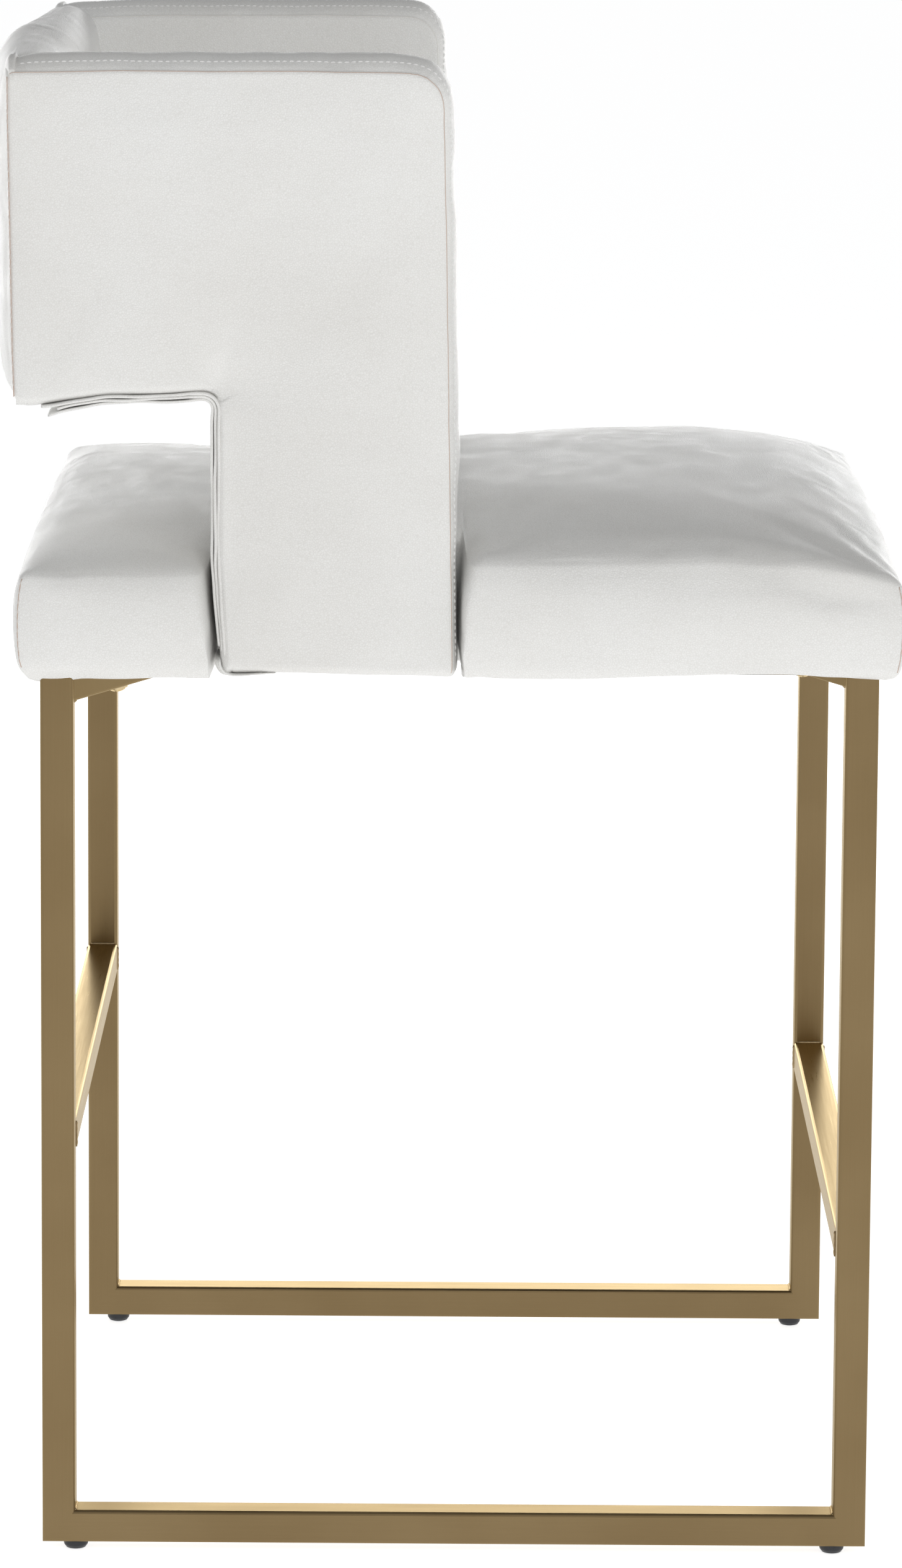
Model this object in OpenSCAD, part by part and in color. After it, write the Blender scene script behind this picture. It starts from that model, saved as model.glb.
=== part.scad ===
// Counter-height bar stool: a square-tube base with two footrests, an upholstered box seat,
// and a three-sided upholstered back whose arms run down to the seat as posts.
// Millimetres. Z is up, the floor is Z = 0, the sitter faces -Y, and the sitter's right side is -X.
// The origin is on the floor, under the middle of the whole stool's box. The design is drawn about the middle of the base,
// and place() moves it.

/* [Base frame] */
// Outside width of the base, across the two side frames
base_w = 512; // [480:1:560]
// Outside depth of each side frame
base_d = 504; // [484:1:530]
// Side of the square tube
tube = 20; // [18:1:22]
// Wall thickness of the tube
tube_wall = 1.5; // [1.2:0.1:2.5]
// Outside corner radius of the tube
tube_r = 2; // [1:0.5:3]
// Height of the frame's top plane, where the seat rests
frame_top = 548; // [500:1:700]
// Height of the front footrest's top face
front_rest_top = 202; // [120:1:320]
// Height of the rear footrest's top face
rear_rest_top = 268; // [120:1:320]
// Run of a corner brace sideways for each millimetre that it runs inward
brace_ratio = 1.77; // [1.6:0.01:1.9]
// Height of the front braces, which are flat bars
front_brace_h = 8; // [6:1:12]
// Distance of the seat bolts from the leg centres, along each brace
bolt_along = 66; // [50:1:80]

/* [Glides] */
// Height that the glides hold the base off the floor
glide_h = 6; // [4:0.5:10]
// Diameter of a glide
glide_d = 15; // [12:0.5:18]
// Distance of a glide from the outer end of its floor rail
glide_inset = 20; // [18:1:40]

/* [Seat] */
// Width of the seat cushion at its widest
seat_w = 532; // [522:1:560]
// Depth of the seat cushion at its deepest
seat_d = 542; // [532:1:570]
// Height of the boxed side of the cushion
seat_side_h = 74; // [60:1:84]
// Rise of the crown above the top of the sides
seat_crown = 25; // [10:1:30]
// Thickness of the plywood seat board
board_t = 15; // [12:1:18]

/* [Arms and back] */
// Distance of an arm's outer face from the middle of the stool
arm_x = 256; // [250:1:262]
// Thickness of an arm over the upholstery
arm_t = 48; // [44:1:56]
// Top of the arms over the upholstery
arm_top = 918; // [860:1:980]
// Underside of the arm's rear wing
wing_z = 714; // [690:1:730]
// Front edge of the post at the seat
post_front = 2; // [-10:1:10]
// Rear edge of the post under the wing
post_rear = 146; // [130:1:160]
// Rear end of the arms, at the corner seams
arm_rear = 266; // [260:1:272]
// Front face of the back
back_front = 230; // [226:1:232]
// Bulge of the back's rear face in the middle
back_bulge = 30; // [16:1:34]
// Thickness of the plywood in the arms
arm_board_t = 18; // [15:1:20]
// Thickness of the upholstery cover
cover_t = 1.5; // [1:0.1:2]

/* [Hidden] */
$fn = 48;
gold = [0.60, 0.50, 0.35];
white = [0.93, 0.93, 0.91];
foam_c = [0.96, 0.90, 0.62];
ply_c = [0.80, 0.66, 0.46];
steel_c = [0.70, 0.71, 0.72];
black_c = [0.10, 0.11, 0.12];

mid_y = (arm_rear + back_bulge - seat_d / 2) / 2;   // middle of the whole stool, behind the base's middle
lx = base_w / 2 - tube / 2;       // leg centre, sideways
ly = base_d / 2 - tube / 2;       // leg centre, front and rear
rail_z = glide_h + tube / 2;      // floor rail centre
gy = base_d / 2 - glide_inset;    // glide centre
brace_a = atan(1 / brace_ratio);  // brace angle to X
bx = lx - bolt_along * cos(brace_a);   // seat bolt
by = ly - bolt_along * sin(brace_a);
spine_l = 2 * (ly - (lx - tube / 2) / brace_ratio) + 44;
seat_z0 = frame_top - 4;          // lower edge of the seat cover
dust_t = 1;
board_z = frame_top + dust_t;     // underside of the seat board
foam_z = board_z + board_t;
seat_zt = seat_z0 + seat_side_h;  // top of the boxed sides
seat_zc = seat_zt + seat_crown;
notch_x = arm_x - arm_t - 5;      // the seat is notched round the posts beyond this
notch_y0 = post_front - 5;
notch_y1 = post_rear + 4;
post_z = seat_z0 + 3;             // bottom of the posts
ab_out = arm_x - 10;              // arm board, outer face
ab_in = ab_out - arm_board_t;     // arm board, inner face
back_bt = 15;                     // back board thickness
bb_y = back_front + 18;           // back board, front face
plate_t = 3;                      // arm bracket thickness
brk_x = notch_x + 1;              // arm bracket, inner face of its upright flange
brk_y = (post_front + post_rear) / 2;  // arm bracket, middle
brk_w = 80;
scr_dy = 25;                      // half the spacing of the bracket's screws
scr_z = board_z + 34;             // height of the screws into the arm board
bsx = brk_x - 22;                 // screws up into the seat board

// Points along an arc
function arc(cx, cy, r, a0, a1, n) =
    [for (i = [0:n]) let (a = a0 + (a1 - a0) * i / n) [cx + r * cos(a), cy + r * sin(a)]];

// Rounded rectangle about its own centre
function rrect(w, h, r, n = 3) = concat(
    arc(w / 2 - r, h / 2 - r, r, 0, 90, n), arc(r - w / 2, h / 2 - r, r, 90, 180, n),
    arc(r - w / 2, r - h / 2, r, 180, 270, n), arc(w / 2 - r, r - h / 2, r, 270, 360, n));

// Straight length of tube along Z, from z = 0
module tube_z(l, w = tube, h = tube) {
    linear_extrude(l) difference() {
        polygon(rrect(w, h, tube_r));
        polygon(rrect(w - 2 * tube_wall, h - 2 * tube_wall, max(tube_r - tube_wall, 0.5)));
    }
}

// Moves the design from the base's middle to the middle of the whole stool
module place() translate([0, -mid_y, 0]) children();

module across_x(x0, x1) { translate([x0, 0, 0]) rotate([90, 0, 90]) linear_extrude(x1 - x0) children(); }
module across_y(y0, y1) { translate([0, y1, 0]) rotate([90, 0, 0]) linear_extrude(y1 - y0) children(); }

// ---- base frame: sx is -1 on the right side and 1 on the left, sy is -1 at the front and 1 at the rear

// Everything below and outside the 45 degree mitre between a leg and its floor rail
module below_mitre(sy) {
    translate([0, sy * base_d / 2, glide_h]) rotate([sy * -45, 0, 0]) translate([-40, -60, -80]) cube([80, 120, 80]);
}

module leg(sx, sy) {
    color(gold) place() translate([sx * lx, 0, 0]) difference() {
        translate([0, sy * ly, glide_h]) tube_z(frame_top - plate_t - glide_h);
        below_mitre(sy);
    }
}

module floor_rail(sx) {
    color(gold) place() translate([sx * lx, 0, 0]) difference() {
        translate([0, base_d / 2, rail_z]) rotate([90, 0, 0]) tube_z(base_d);
        for (sy = [-1, 1]) {
            translate([0, sy * base_d / 2, glide_h]) rotate([sy * -45, 0, 0]) translate([-40, -60, 0]) cube([80, 120, 80]);
            translate([0, sy * gy, glide_h - 1]) cylinder(r = 3, h = tube_wall + 2);
        }
    }
}

module footrest(sy, top) {
    color(gold) place() translate([tube / 2 - lx, sy * ly, top - tube / 2]) rotate([0, 90, 0]) tube_z(2 * lx - tube);
}

module brace(sx, sy, h) {
    color(gold) place() difference() {
        translate([sx * lx, sy * ly, frame_top - h]) rotate([0, 0, atan2(-sy / brace_ratio, -sx)])
            if (h >= tube) translate([0, 0, h / 2]) rotate([0, 90, 0]) tube_z(lx * 1.2, h, tube);
            else rotate([0, 90, 0]) translate([-h / 2, 0, 0]) linear_extrude(lx * 1.2) polygon(rrect(h, tube, 1));
        translate([sx * lx - tube / 2, sy * ly - tube / 2, frame_top - 60]) cube([tube, tube, 80]);
        translate([sx > 0 ? -300 + tube / 2 : -tube / 2, -260, frame_top - 60]) cube([300, 520, 80]);
        translate([sx * bx, sy * by, frame_top - 60]) cylinder(r = 3.4, h = 80);
    }
}

module right_front_leg() leg(-1, -1);
module right_rear_leg() leg(-1, 1);
module left_front_leg() leg(1, -1);
module left_rear_leg() leg(1, 1);
module right_floor_rail() floor_rail(-1);
module left_floor_rail() floor_rail(1);
module front_footrest() footrest(-1, front_rest_top);
module rear_footrest() footrest(1, rear_rest_top);
module right_front_brace() brace(-1, -1, front_brace_h);
module left_front_brace() brace(1, -1, front_brace_h);
module right_rear_brace() brace(-1, 1, tube);
module left_rear_brace() brace(1, 1, tube);

// Tube along the middle that the four braces are welded to
module centre_spine() {
    color(gold) place() translate([0, spine_l / 2, frame_top - tube / 2]) rotate([90, 0, 0]) tube_z(spine_l);
}

// Plates welded over the open tops of the legs
module leg_top_plates() {
    color(gold) place() for (sx = [-1, 1], sy = [-1, 1])
        translate([sx * lx, sy * ly, frame_top - plate_t]) linear_extrude(plate_t) polygon(rrect(tube, tube, tube_r));
}

// Domed glides, each with a stem pressed into the floor rail
module glides() {
    color(black_c) place() for (sx = [-1, 1], sy = [-1, 1]) translate([sx * lx, sy * gy, 0]) rotate_extrude()
        polygon(concat([[0, 0], [glide_d / 2 - 3.5, 0], [glide_d / 2 - 1.4, 0.7], [glide_d / 2 - 0.2, 2.4], [glide_d / 2, 3.2],
                        [glide_d / 2, glide_h], [3, glide_h], [3, glide_h + 7], [2, glide_h + 9], [0, glide_h + 9]]));
}

// ---- seat

// Half outline of the cushion, from its lower edge up the boxed side and over the crown. e insets it.
function seat_half(a, e) = concat(
    [[a - 5 - e, seat_z0], [a - 1.5 - e, seat_z0 + 14], [a - e, seat_z0 + 36], [a - 3 - e, seat_z0 + 58], [a - 9 - e, seat_zt - e]],
    [for (i = [1:9]) let (t = 1 - i / 9) [(a - 9 - e) * t, seat_zt - e + seat_crown * (1 - pow(t, 2.6))]]);
function seat_section(a, e) = let (h = seat_half(a, e), n = len(h))
    concat(h, [for (i = [n - 2:-1:0]) [-h[i][0], h[i][1]]]);

// The cushion's outer form: the side section and the front section meet in mitred corner seams
module seat_form(e) {
    intersection() {
        across_x(-400, 400) polygon(seat_section(seat_d / 2, e));
        across_y(-400, 400) polygon(seat_section(seat_w / 2, e));
    }
}

// Room for the two posts and their brackets. g widens it.
module post_notches(z0, z1, g) {
    for (sx = [-1, 1]) translate([sx > 0 ? notch_x - g : -400, notch_y0 - g, z0])
        cube([400 - notch_x + g, notch_y1 - notch_y0 + 2 * g, z1 - z0]);
}

module seat_screw_holes(r, z0, z1) {
    for (sx = [-1, 1], sy = [-1, 1]) translate([sx * bx, sy * by, z0]) cylinder(r = r, h = z1 - z0);
}
module bracket_screw_holes(r, z0, z1) {
    for (sx = [-1, 1], d = [-scr_dy, scr_dy]) translate([sx * bsx, brk_y + d, z0]) cylinder(r = r, h = z1 - z0);
}

module dust_cover() {
    color(black_c) place() difference() {
        translate([0, 0, frame_top]) linear_extrude(dust_t) polygon(rrect(seat_w - 26, seat_d - 20, 6));
        post_notches(frame_top - 5, frame_top + 5, 0.2);
        seat_screw_holes(3.4, frame_top - 5, frame_top + 5);
        bracket_screw_holes(2.7, frame_top - 5, frame_top + 5);
    }
}

module seat_board() {
    color(ply_c) place() difference() {
        translate([0, 0, board_z]) linear_extrude(board_t) polygon(rrect(seat_w - 18, seat_d - 18, 8));
        post_notches(board_z - 5, foam_z + 5, 1.7);
        seat_screw_holes(4.6, board_z - 5, foam_z + 5);
        seat_screw_holes(11, foam_z - 1.5, foam_z + 5);
        bracket_screw_holes(2.5, board_z - 5, board_z + 12);
    }
}

module seat_foam() {
    color(foam_c) place() difference() {
        intersection() {
            seat_form(cover_t + 0.1);
            translate([-400, -400, foam_z]) cube([800, 800, 200]);
        }
        post_notches(foam_z - 5, foam_z + 200, cover_t + 0.2);
    }
}

module seat_cover() {
    color(white) place() difference() {
        seat_form(0);
        difference() {
            seat_form(cover_t);
            post_notches(0, 900, cover_t);
            translate([-400, -400, 0]) cube([800, 800, board_z - 0.9]);
        }
        // the lower edge hangs a little below the frame's top plane, all round the outside of the legs
        translate([-base_w / 2 - 0.6, -base_d / 2 - 0.6, seat_z0 - 10]) cube([base_w + 1.2, base_d + 1.2, board_z - seat_z0 + 10]);
        post_notches(0, 900, 0);
    }
}

// Button-head bolts that come up through the braces into the seat board
module seat_bolts() {
    color(steel_c) place() for (sx = [-1, 1], sy = [-1, 1]) {
        z = frame_top - (sy < 0 ? front_brace_h : tube) - 1.5;
        translate([sx * bx, sy * by, z]) {
            cylinder(r = 3, h = foam_z - z - 0.5);
            difference() {
                intersection() {
                    translate([0, 0, -3.3]) cylinder(r = 5.5, h = 3.3);
                    translate([0, 0, 5.2]) sphere(r = 8.5);
                }
                translate([0, 0, -4]) cylinder(r = 2.3, h = 2.4, $fn = 6);
            }
        }
    }
}

module seat_washers() {
    color(steel_c) place() for (sx = [-1, 1], sy = [-1, 1])
        translate([sx * bx, sy * by, frame_top - (sy < 0 ? front_brace_h : tube) - 1.5]) difference() {
            cylinder(r = 7, h = 1.5);
            translate([0, 0, -1]) cylinder(r = 3.2, h = 4);
        }
}

module seat_tee_nuts() {
    color(steel_c) place() for (sx = [-1, 1], sy = [-1, 1]) translate([sx * bx, sy * by, 0]) difference() {
        union() {
            translate([0, 0, foam_z - 1.5]) cylinder(r = 10.6, h = 1.4);
            translate([0, 0, foam_z - 10]) cylinder(r = 4.4, h = 9);
        }
        translate([0, 0, foam_z - 12]) cylinder(r = 3.05, h = 14);
    }
}

// ---- arms, drawn for the side sx

// Side outline of an arm: a wing to the rear, and a post down to the seat. e insets it all round.
function arm_outline(e) = concat(
    [[arm_rear - e, wing_z - 6 + e]],
    let (r = max(8 - e, 2)) arc(arm_rear - e - r, arm_top - e - r, r, 0, 90, 4),
    arc(post_front + 34, arm_top - 28, 28 - e, 90, 180, 7),
    [[post_front + e, post_z + e], [post_rear - 4 - e, post_z + e], [post_rear - e, wing_z - 8],
     [post_rear - e + 8, wing_z + e], [arm_rear - 40, wing_z + e]]);

// Section across an arm, which rounds its top edge and crowns its outer face
function arm_top_section(e) = let (xo = arm_x - e, xi = arm_x - arm_t + e)
    [[xo - 1, post_z - 30], [xo - 1, post_z + 4], [xo + 1.5, post_z + 60], [xo + 2.5, (post_z + arm_top) / 2], [xo + 1.5, arm_top - 60],
     [xo - 1, arm_top - 10 - e], [xo - 5, arm_top - 4.5 - e], [xo - 14, arm_top - 1 - e], [(xo + xi) / 2, arm_top - e],
     [xi + 14, arm_top - 1 - e], [xi + 5, arm_top - 4.5 - e], [xi, arm_top - 10 - e], [xi, post_z - 30]];
// Plan of an arm, which rounds its front edge
function arm_plan(e) = let (xo = arm_x + 3 - e, xi = arm_x - arm_t - 1 + e)
    [[xo, arm_rear + 20], [xo, post_front + 22 + e], [xo - 3, post_front + 9 + e], [xo - 10, post_front + 3 + e], [(xo + xi) / 2, post_front - 1 + e],
     [xi + 10, post_front + 3 + e], [xi + 2, post_front + 9 + e], [xi, post_front + 22 + e], [xi, arm_rear + 20]];

module arm_form(e) {
    intersection() {
        across_x(arm_x - arm_t - 10, arm_x + 10) polygon(arm_outline(e));
        across_y(-100, 400) polygon(arm_top_section(e));
        translate([0, 0, post_z - 20]) linear_extrude(arm_top - post_z + 40) polygon(arm_plan(e));
    }
}

// The back closes the inner rear corner, so the arm's padding stops there
module behind_back(g) { translate([0, back_front - g, wing_z - 40]) cube([ab_in, 200, 400]); }

module arm_screw_holes(r) {
    for (d = [-scr_dy, scr_dy]) translate([brk_x - 10, brk_y + d, scr_z]) rotate([0, 90, 0]) cylinder(r = r, h = ab_out - brk_x + 9);
}
module corner_screw_places() {
    for (z = [wing_z + 30, (wing_z + arm_top) / 2 - 5, arm_top - 42]) translate([ab_out, bb_y + back_bt / 2, z]) rotate([0, -90, 0]) children();
}

module arm_side(sx) { if (sx > 0) children(); else mirror([1, 0, 0]) children(); }

module arm_board() {
    color(ply_c) place() difference() {
        across_x(ab_in, ab_out) polygon(arm_outline(12));
        for (d = [-scr_dy, scr_dy]) translate([ab_in - 5, brk_y + d, scr_z]) rotate([0, 90, 0]) cylinder(r = 3.9, h = 40);
        for (d = [-scr_dy, scr_dy]) translate([ab_out - 1.5, brk_y + d, scr_z]) rotate([0, 90, 0]) cylinder(r = 9, h = 10);
        corner_screw_places() { translate([0, 0, -1]) cylinder(r = 2.2, h = 60); translate([0, 0, -0.01]) cylinder(r1 = 4.6, r2 = 2.2, h = 2.6); }
    }
}

module arm_foam() {
    color(foam_c) place() difference() {
        arm_form(cover_t + 0.1);
        across_x(ab_in - 0.1, ab_out + 0.1) polygon(arm_outline(11.9));
        behind_back(0.1);
        for (d = [-scr_dy, scr_dy]) translate([brk_x - 20, brk_y + d, scr_z]) rotate([0, 90, 0]) cylinder(r = 3.4, h = ab_in - brk_x + 21);
    }
}

module arm_cover() {
    color(white) place() difference() {
        arm_form(0);
        arm_form(cover_t);
        behind_back(0);
        for (d = [-scr_dy, scr_dy]) translate([brk_x - 20, brk_y + d, scr_z]) rotate([0, 90, 0]) cylinder(r = 3.4, h = 30);
    }
}

// Folded strip that finishes the cover under the wing and down the rear of the post
module arm_edge_trim() {
    color(white) place() across_x(arm_x - arm_t + 3, arm_x - 3) difference() {
        polygon([[arm_rear - 14, wing_z - 8], [arm_rear - 46, wing_z - 3.2], [post_rear + 8.6, wing_z - 3], [post_rear + 3, wing_z - 8.4],
                 [post_rear - 0.8, post_z + 30], [post_rear - 1.2, post_z], [post_rear - 3.8, post_z],
                 [post_rear - 3.2, post_z + 30], [post_rear + 0.2, wing_z - 8.2], [post_rear + 7.9, wing_z - 0.2], [arm_rear - 41, wing_z - 0.2], [arm_rear - 14, wing_z - 4]]);
    }
}

module right_arm_board() arm_side(-1) arm_board();
module left_arm_board() arm_side(1) arm_board();
module right_arm_foam() arm_side(-1) arm_foam();
module left_arm_foam() arm_side(1) arm_foam();
module right_arm_cover() arm_side(-1) arm_cover();
module left_arm_cover() arm_side(1) arm_cover();
module right_arm_edge_trim() arm_side(-1) arm_edge_trim();
module left_arm_edge_trim() arm_side(1) arm_edge_trim();

// Steel angle: its upright flange is screwed to the post, and its flat flange goes under the seat board
module arm_bracket() {
    color(steel_c) place() difference() {
        union() {
            translate([brk_x, brk_y - brk_w / 2, frame_top - plate_t]) cube([plate_t, brk_w, scr_z + 14 - frame_top + plate_t]);
            translate([brk_x - 38, brk_y - brk_w / 2, frame_top - plate_t]) cube([38.5, brk_w, plate_t]);
        }
        for (d = [-scr_dy, scr_dy]) translate([brk_x - 1, brk_y + d, scr_z]) rotate([0, 90, 0]) {
            cylinder(r = 2.7, h = plate_t + 2);
            translate([0, 0, 0.9]) cylinder(r1 = 5.3, r2 = 2.7, h = 2.6);
        }
        bracket_screw_holes(2.7, frame_top - 10, frame_top + 2);
    }
}
module right_arm_bracket() arm_side(-1) arm_bracket();
module left_arm_bracket() arm_side(1) arm_bracket();

// Countersunk screws from the brackets into the tee nuts in the arm boards
module arm_bracket_screws() {
    color(steel_c) place() for (sx = [-1, 1]) arm_side(sx) for (d = [-scr_dy, scr_dy])
        translate([brk_x + 0.2, brk_y + d, scr_z]) rotate([0, 90, 0]) difference() {
            union() { cylinder(r = 2.5, h = ab_out - brk_x - 3); cylinder(r1 = 5, r2 = 2.5, h = 2.5); }
            translate([0, 0, -0.5]) cylinder(r = 1.7, h = 1.8, $fn = 6);
        }
}

module bracket_seat_screws() {
    color(steel_c) place() for (sx = [-1, 1], d = [-scr_dy, scr_dy]) translate([sx * bsx, brk_y + d, frame_top - plate_t]) {
        cylinder(r = 2.5, h = 14.5);
        difference() {
            intersection() {
                translate([0, 0, -2.6]) cylinder(r = 4.6, h = 2.6);
                translate([0, 0, 4.4]) sphere(r = 7);
            }
            translate([0, 0, -3]) cylinder(r = 1.8, h = 1.8, $fn = 6);
        }
    }
}

module arm_tee_nuts() {
    color(steel_c) place() for (sx = [-1, 1]) arm_side(sx) for (d = [-scr_dy, scr_dy])
        translate([ab_out, brk_y + d, scr_z]) rotate([0, -90, 0]) difference() {
            union() { translate([0, 0, 0.1]) cylinder(r = 8.7, h = 1.4); cylinder(r = 3.7, h = 11); }
            translate([0, 0, -1]) cylinder(r = 2.55, h = 14);
        }
}

// ---- back

module back_board() {
    color(ply_c) place() difference() {
        across_x(-ab_in, ab_in) polygon([[bb_y, wing_z + 4], [bb_y + back_bt, wing_z + 4], [bb_y + back_bt, arm_top - 16], [bb_y, arm_top - 16]]);
        for (sx = [-1, 1]) arm_side(sx) corner_screw_places() cylinder(r = 2, h = 56);
    }
}

module back_corner_screws() {
    color(steel_c) place() for (sx = [-1, 1]) arm_side(sx) corner_screw_places() difference() {
        union() { cylinder(r = 2, h = 40); cylinder(r1 = 4.3, r2 = 2, h = 2.4); }
        translate([0, 0, -0.5]) cylinder(r = 1.5, h = 1.7, $fn = 6);
    }
}

// Section through the back: the front face leans back a little into a large round over the top, and the rear face draws in towards its lower edge
function back_section(e) = let (r = 26) concat(
    [[back_front + e, wing_z - 4 + e]],
    arc(back_front + 8 + r, arm_top + 2 - r, r - e, 180, 90, 6),
    [for (i = [0:5]) let (a = 90 - 90 * i / 5) [arm_rear + (back_bulge - e) * cos(a), arm_top - 36 + (38 - e) * sin(a)]],
    [[arm_rear + back_bulge - 1.5 - e, wing_z + 70], [arm_rear + back_bulge - 7 - e, wing_z + 20], [arm_rear + back_bulge - 15 - e, wing_z - 4 + e]]);

// Plan of the back: its ends fit between the arm boards, and its rear face bows from corner seam to corner seam
function back_plan(e) = concat(
    [[-ab_in + 0.1, back_front - 10], [ab_in - 0.1, back_front - 10], [ab_in - 0.1, arm_rear + 0.2 + e], [arm_x - e, arm_rear + 0.2 + e]],
    [for (i = [0:16]) let (t = 1 - i / 8) [(arm_x - e) * t, arm_rear + 3 + (back_bulge - 3 - e) * (1 - pow(abs(t), 2.2))]],
    [[-arm_x + e, arm_rear + 0.2 + e], [-ab_in + 0.1, arm_rear + 0.2 + e]]);

module back_form(e) {
    intersection() {
        across_x(-arm_x - 10, arm_x + 10) polygon(back_section(e));
        translate([0, 0, wing_z - 30]) linear_extrude(arm_top - wing_z + 60) polygon(back_plan(e));
    }
}

module back_inside(g) {
    across_x(-ab_in - 1, ab_in + 1) polygon([[bb_y - g, wing_z + 4 - g], [bb_y + back_bt + g, wing_z + 4 - g], [bb_y + back_bt + g, arm_top - 16 + g], [bb_y - g, arm_top - 16 + g]]);
}

module back_front_foam() {
    color(foam_c) place() difference() {
        intersection() {
            back_form(cover_t + 0.1);
            translate([-300, 0, 0]) cube([600, bb_y + back_bt / 2, 1000]);
        }
        back_inside(0.1);
    }
}

module back_rear_foam() {
    color(foam_c) place() difference() {
        intersection() {
            back_form(cover_t + 0.1);
            translate([-300, bb_y + back_bt / 2 + 0.1, 0]) cube([600, 200, 1000]);
        }
        back_inside(0.1);
    }
}

module back_cover() {
    color(white) place() difference() {
        back_form(0);
        back_form(cover_t);
        back_inside(0);
        // open at both ends, where the arm boards close it
        for (sx = [-1, 1]) translate([sx > 0 ? ab_in - cover_t - 1 : -ab_in - 1, back_front + cover_t, wing_z - 4 + cover_t]) cube([cover_t + 2, arm_rear - back_front - cover_t, arm_top - wing_z - 6]);
    }
}

right_front_leg();
right_rear_leg();
right_floor_rail();
left_front_leg();
left_rear_leg();
left_floor_rail();
front_footrest();
rear_footrest();
right_front_brace();
left_front_brace();
right_rear_brace();
left_rear_brace();
centre_spine();
leg_top_plates();
glides();
dust_cover();
seat_board();
seat_foam();
seat_cover();
seat_bolts();
seat_washers();
seat_tee_nuts();
right_arm_board();
right_arm_foam();
right_arm_cover();
right_arm_edge_trim();
left_arm_board();
left_arm_foam();
left_arm_cover();
left_arm_edge_trim();
right_arm_bracket();
left_arm_bracket();
arm_bracket_screws();
bracket_seat_screws();
arm_tee_nuts();
back_board();
back_corner_screws();
back_front_foam();
back_rear_foam();
back_cover();
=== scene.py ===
import bpy, bmesh, math
import numpy as np
from mathutils import Vector, Matrix, Quaternion
from mathutils.bvhtree import BVHTree
from mathutils.kdtree import KDTree


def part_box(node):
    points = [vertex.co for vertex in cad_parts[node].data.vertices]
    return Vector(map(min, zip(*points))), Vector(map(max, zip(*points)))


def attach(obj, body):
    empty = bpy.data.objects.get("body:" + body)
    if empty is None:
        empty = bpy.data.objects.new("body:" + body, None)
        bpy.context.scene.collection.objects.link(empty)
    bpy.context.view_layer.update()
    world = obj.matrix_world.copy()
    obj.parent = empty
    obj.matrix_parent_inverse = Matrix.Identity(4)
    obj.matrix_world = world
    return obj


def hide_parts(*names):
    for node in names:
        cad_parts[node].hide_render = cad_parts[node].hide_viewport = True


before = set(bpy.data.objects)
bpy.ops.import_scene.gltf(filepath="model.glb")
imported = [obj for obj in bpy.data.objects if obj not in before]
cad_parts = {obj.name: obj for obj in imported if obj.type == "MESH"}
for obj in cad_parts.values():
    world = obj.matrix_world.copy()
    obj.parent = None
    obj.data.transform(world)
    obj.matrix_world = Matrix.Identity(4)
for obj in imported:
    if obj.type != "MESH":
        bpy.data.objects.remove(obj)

SC = bpy.context.scene
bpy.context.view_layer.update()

# Design coordinates are millimetres about the middle of the base. YO moves them into the frame.
_a, _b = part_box("front_footrest"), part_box("rear_footrest")
YO = (_a[0][1] + _a[1][1] + _b[0][1] + _b[1][1]) / 4


# ------------------------------------------------------------------ helpers
def tab(x, pairs):
    p = sorted(pairs)
    return np.interp(x, [a for a, _ in p], [b for _, b in p])


def waves(P, wl, seed, n=9, squash=(1, 1, 1)):
    """Smooth repeatable noise of about -1 to 1 with wavelengths near wl, in mm."""
    r = np.random.RandomState(seed)
    out = np.zeros(len(P))
    Q = np.asarray(P) * np.array(squash)
    for _ in range(n):
        k = r.normal(size=3)
        k *= 2 * math.pi / (wl * r.uniform(0.65, 1.6)) / np.linalg.norm(k)
        out += np.sin(Q @ k + r.uniform(0, 6.28))
    return out / math.sqrt(n) * 0.8


def to_m(V):
    V = np.asarray(V, float) / 1000.0
    V[:, 1] += YO
    return V


def new_obj(name, V, F, mm=True):
    me = bpy.data.meshes.new(name)
    W = to_m(np.array(V, float)) if mm else np.asarray(V, float)
    me.from_pydata(W.tolist(), [], [tuple(int(i) for i in f) for f in F])
    me.validate()
    bm = bmesh.new()
    bm.from_mesh(me)
    bmesh.ops.recalc_face_normals(bm, faces=bm.faces)
    bm.to_mesh(me)
    bm.free()
    me.polygons.foreach_set("use_smooth", [True] * len(me.polygons))
    ob = bpy.data.objects.new(name, me)
    SC.collection.objects.link(ob)
    return ob


def get_v(ob):
    a = np.empty(len(ob.data.vertices) * 3)
    ob.data.vertices.foreach_get("co", a)
    return a.reshape(-1, 3)


def set_v(ob, V):
    ob.data.vertices.foreach_set("co", np.asarray(V, float).ravel())
    ob.data.update()


def get_n(ob):
    a = np.empty(len(ob.data.vertices) * 3)
    ob.data.vertex_normals.foreach_get("vector", a)
    return a.reshape(-1, 3)


def apply_mods(ob):
    dg = bpy.context.evaluated_depsgraph_get()
    me = bpy.data.meshes.new_from_object(ob.evaluated_get(dg), preserve_all_data_layers=True, depsgraph=dg)
    old = ob.data
    ob.modifiers.clear()
    me.name = old.name
    ob.data = me
    bpy.data.meshes.remove(old)


def subdivide(ob, n=1):
    m = ob.modifiers.new("sub", "SUBSURF")
    m.levels = m.render_levels = n
    m.boundary_smooth = "PRESERVE_CORNERS"
    apply_mods(ob)
    ob.data.polygons.foreach_set("use_smooth", [True] * len(ob.data.polygons))


def mm_of(V):
    W = np.array(V) * 1000.0
    W[:, 1] -= YO * 1000.0
    return W


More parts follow.
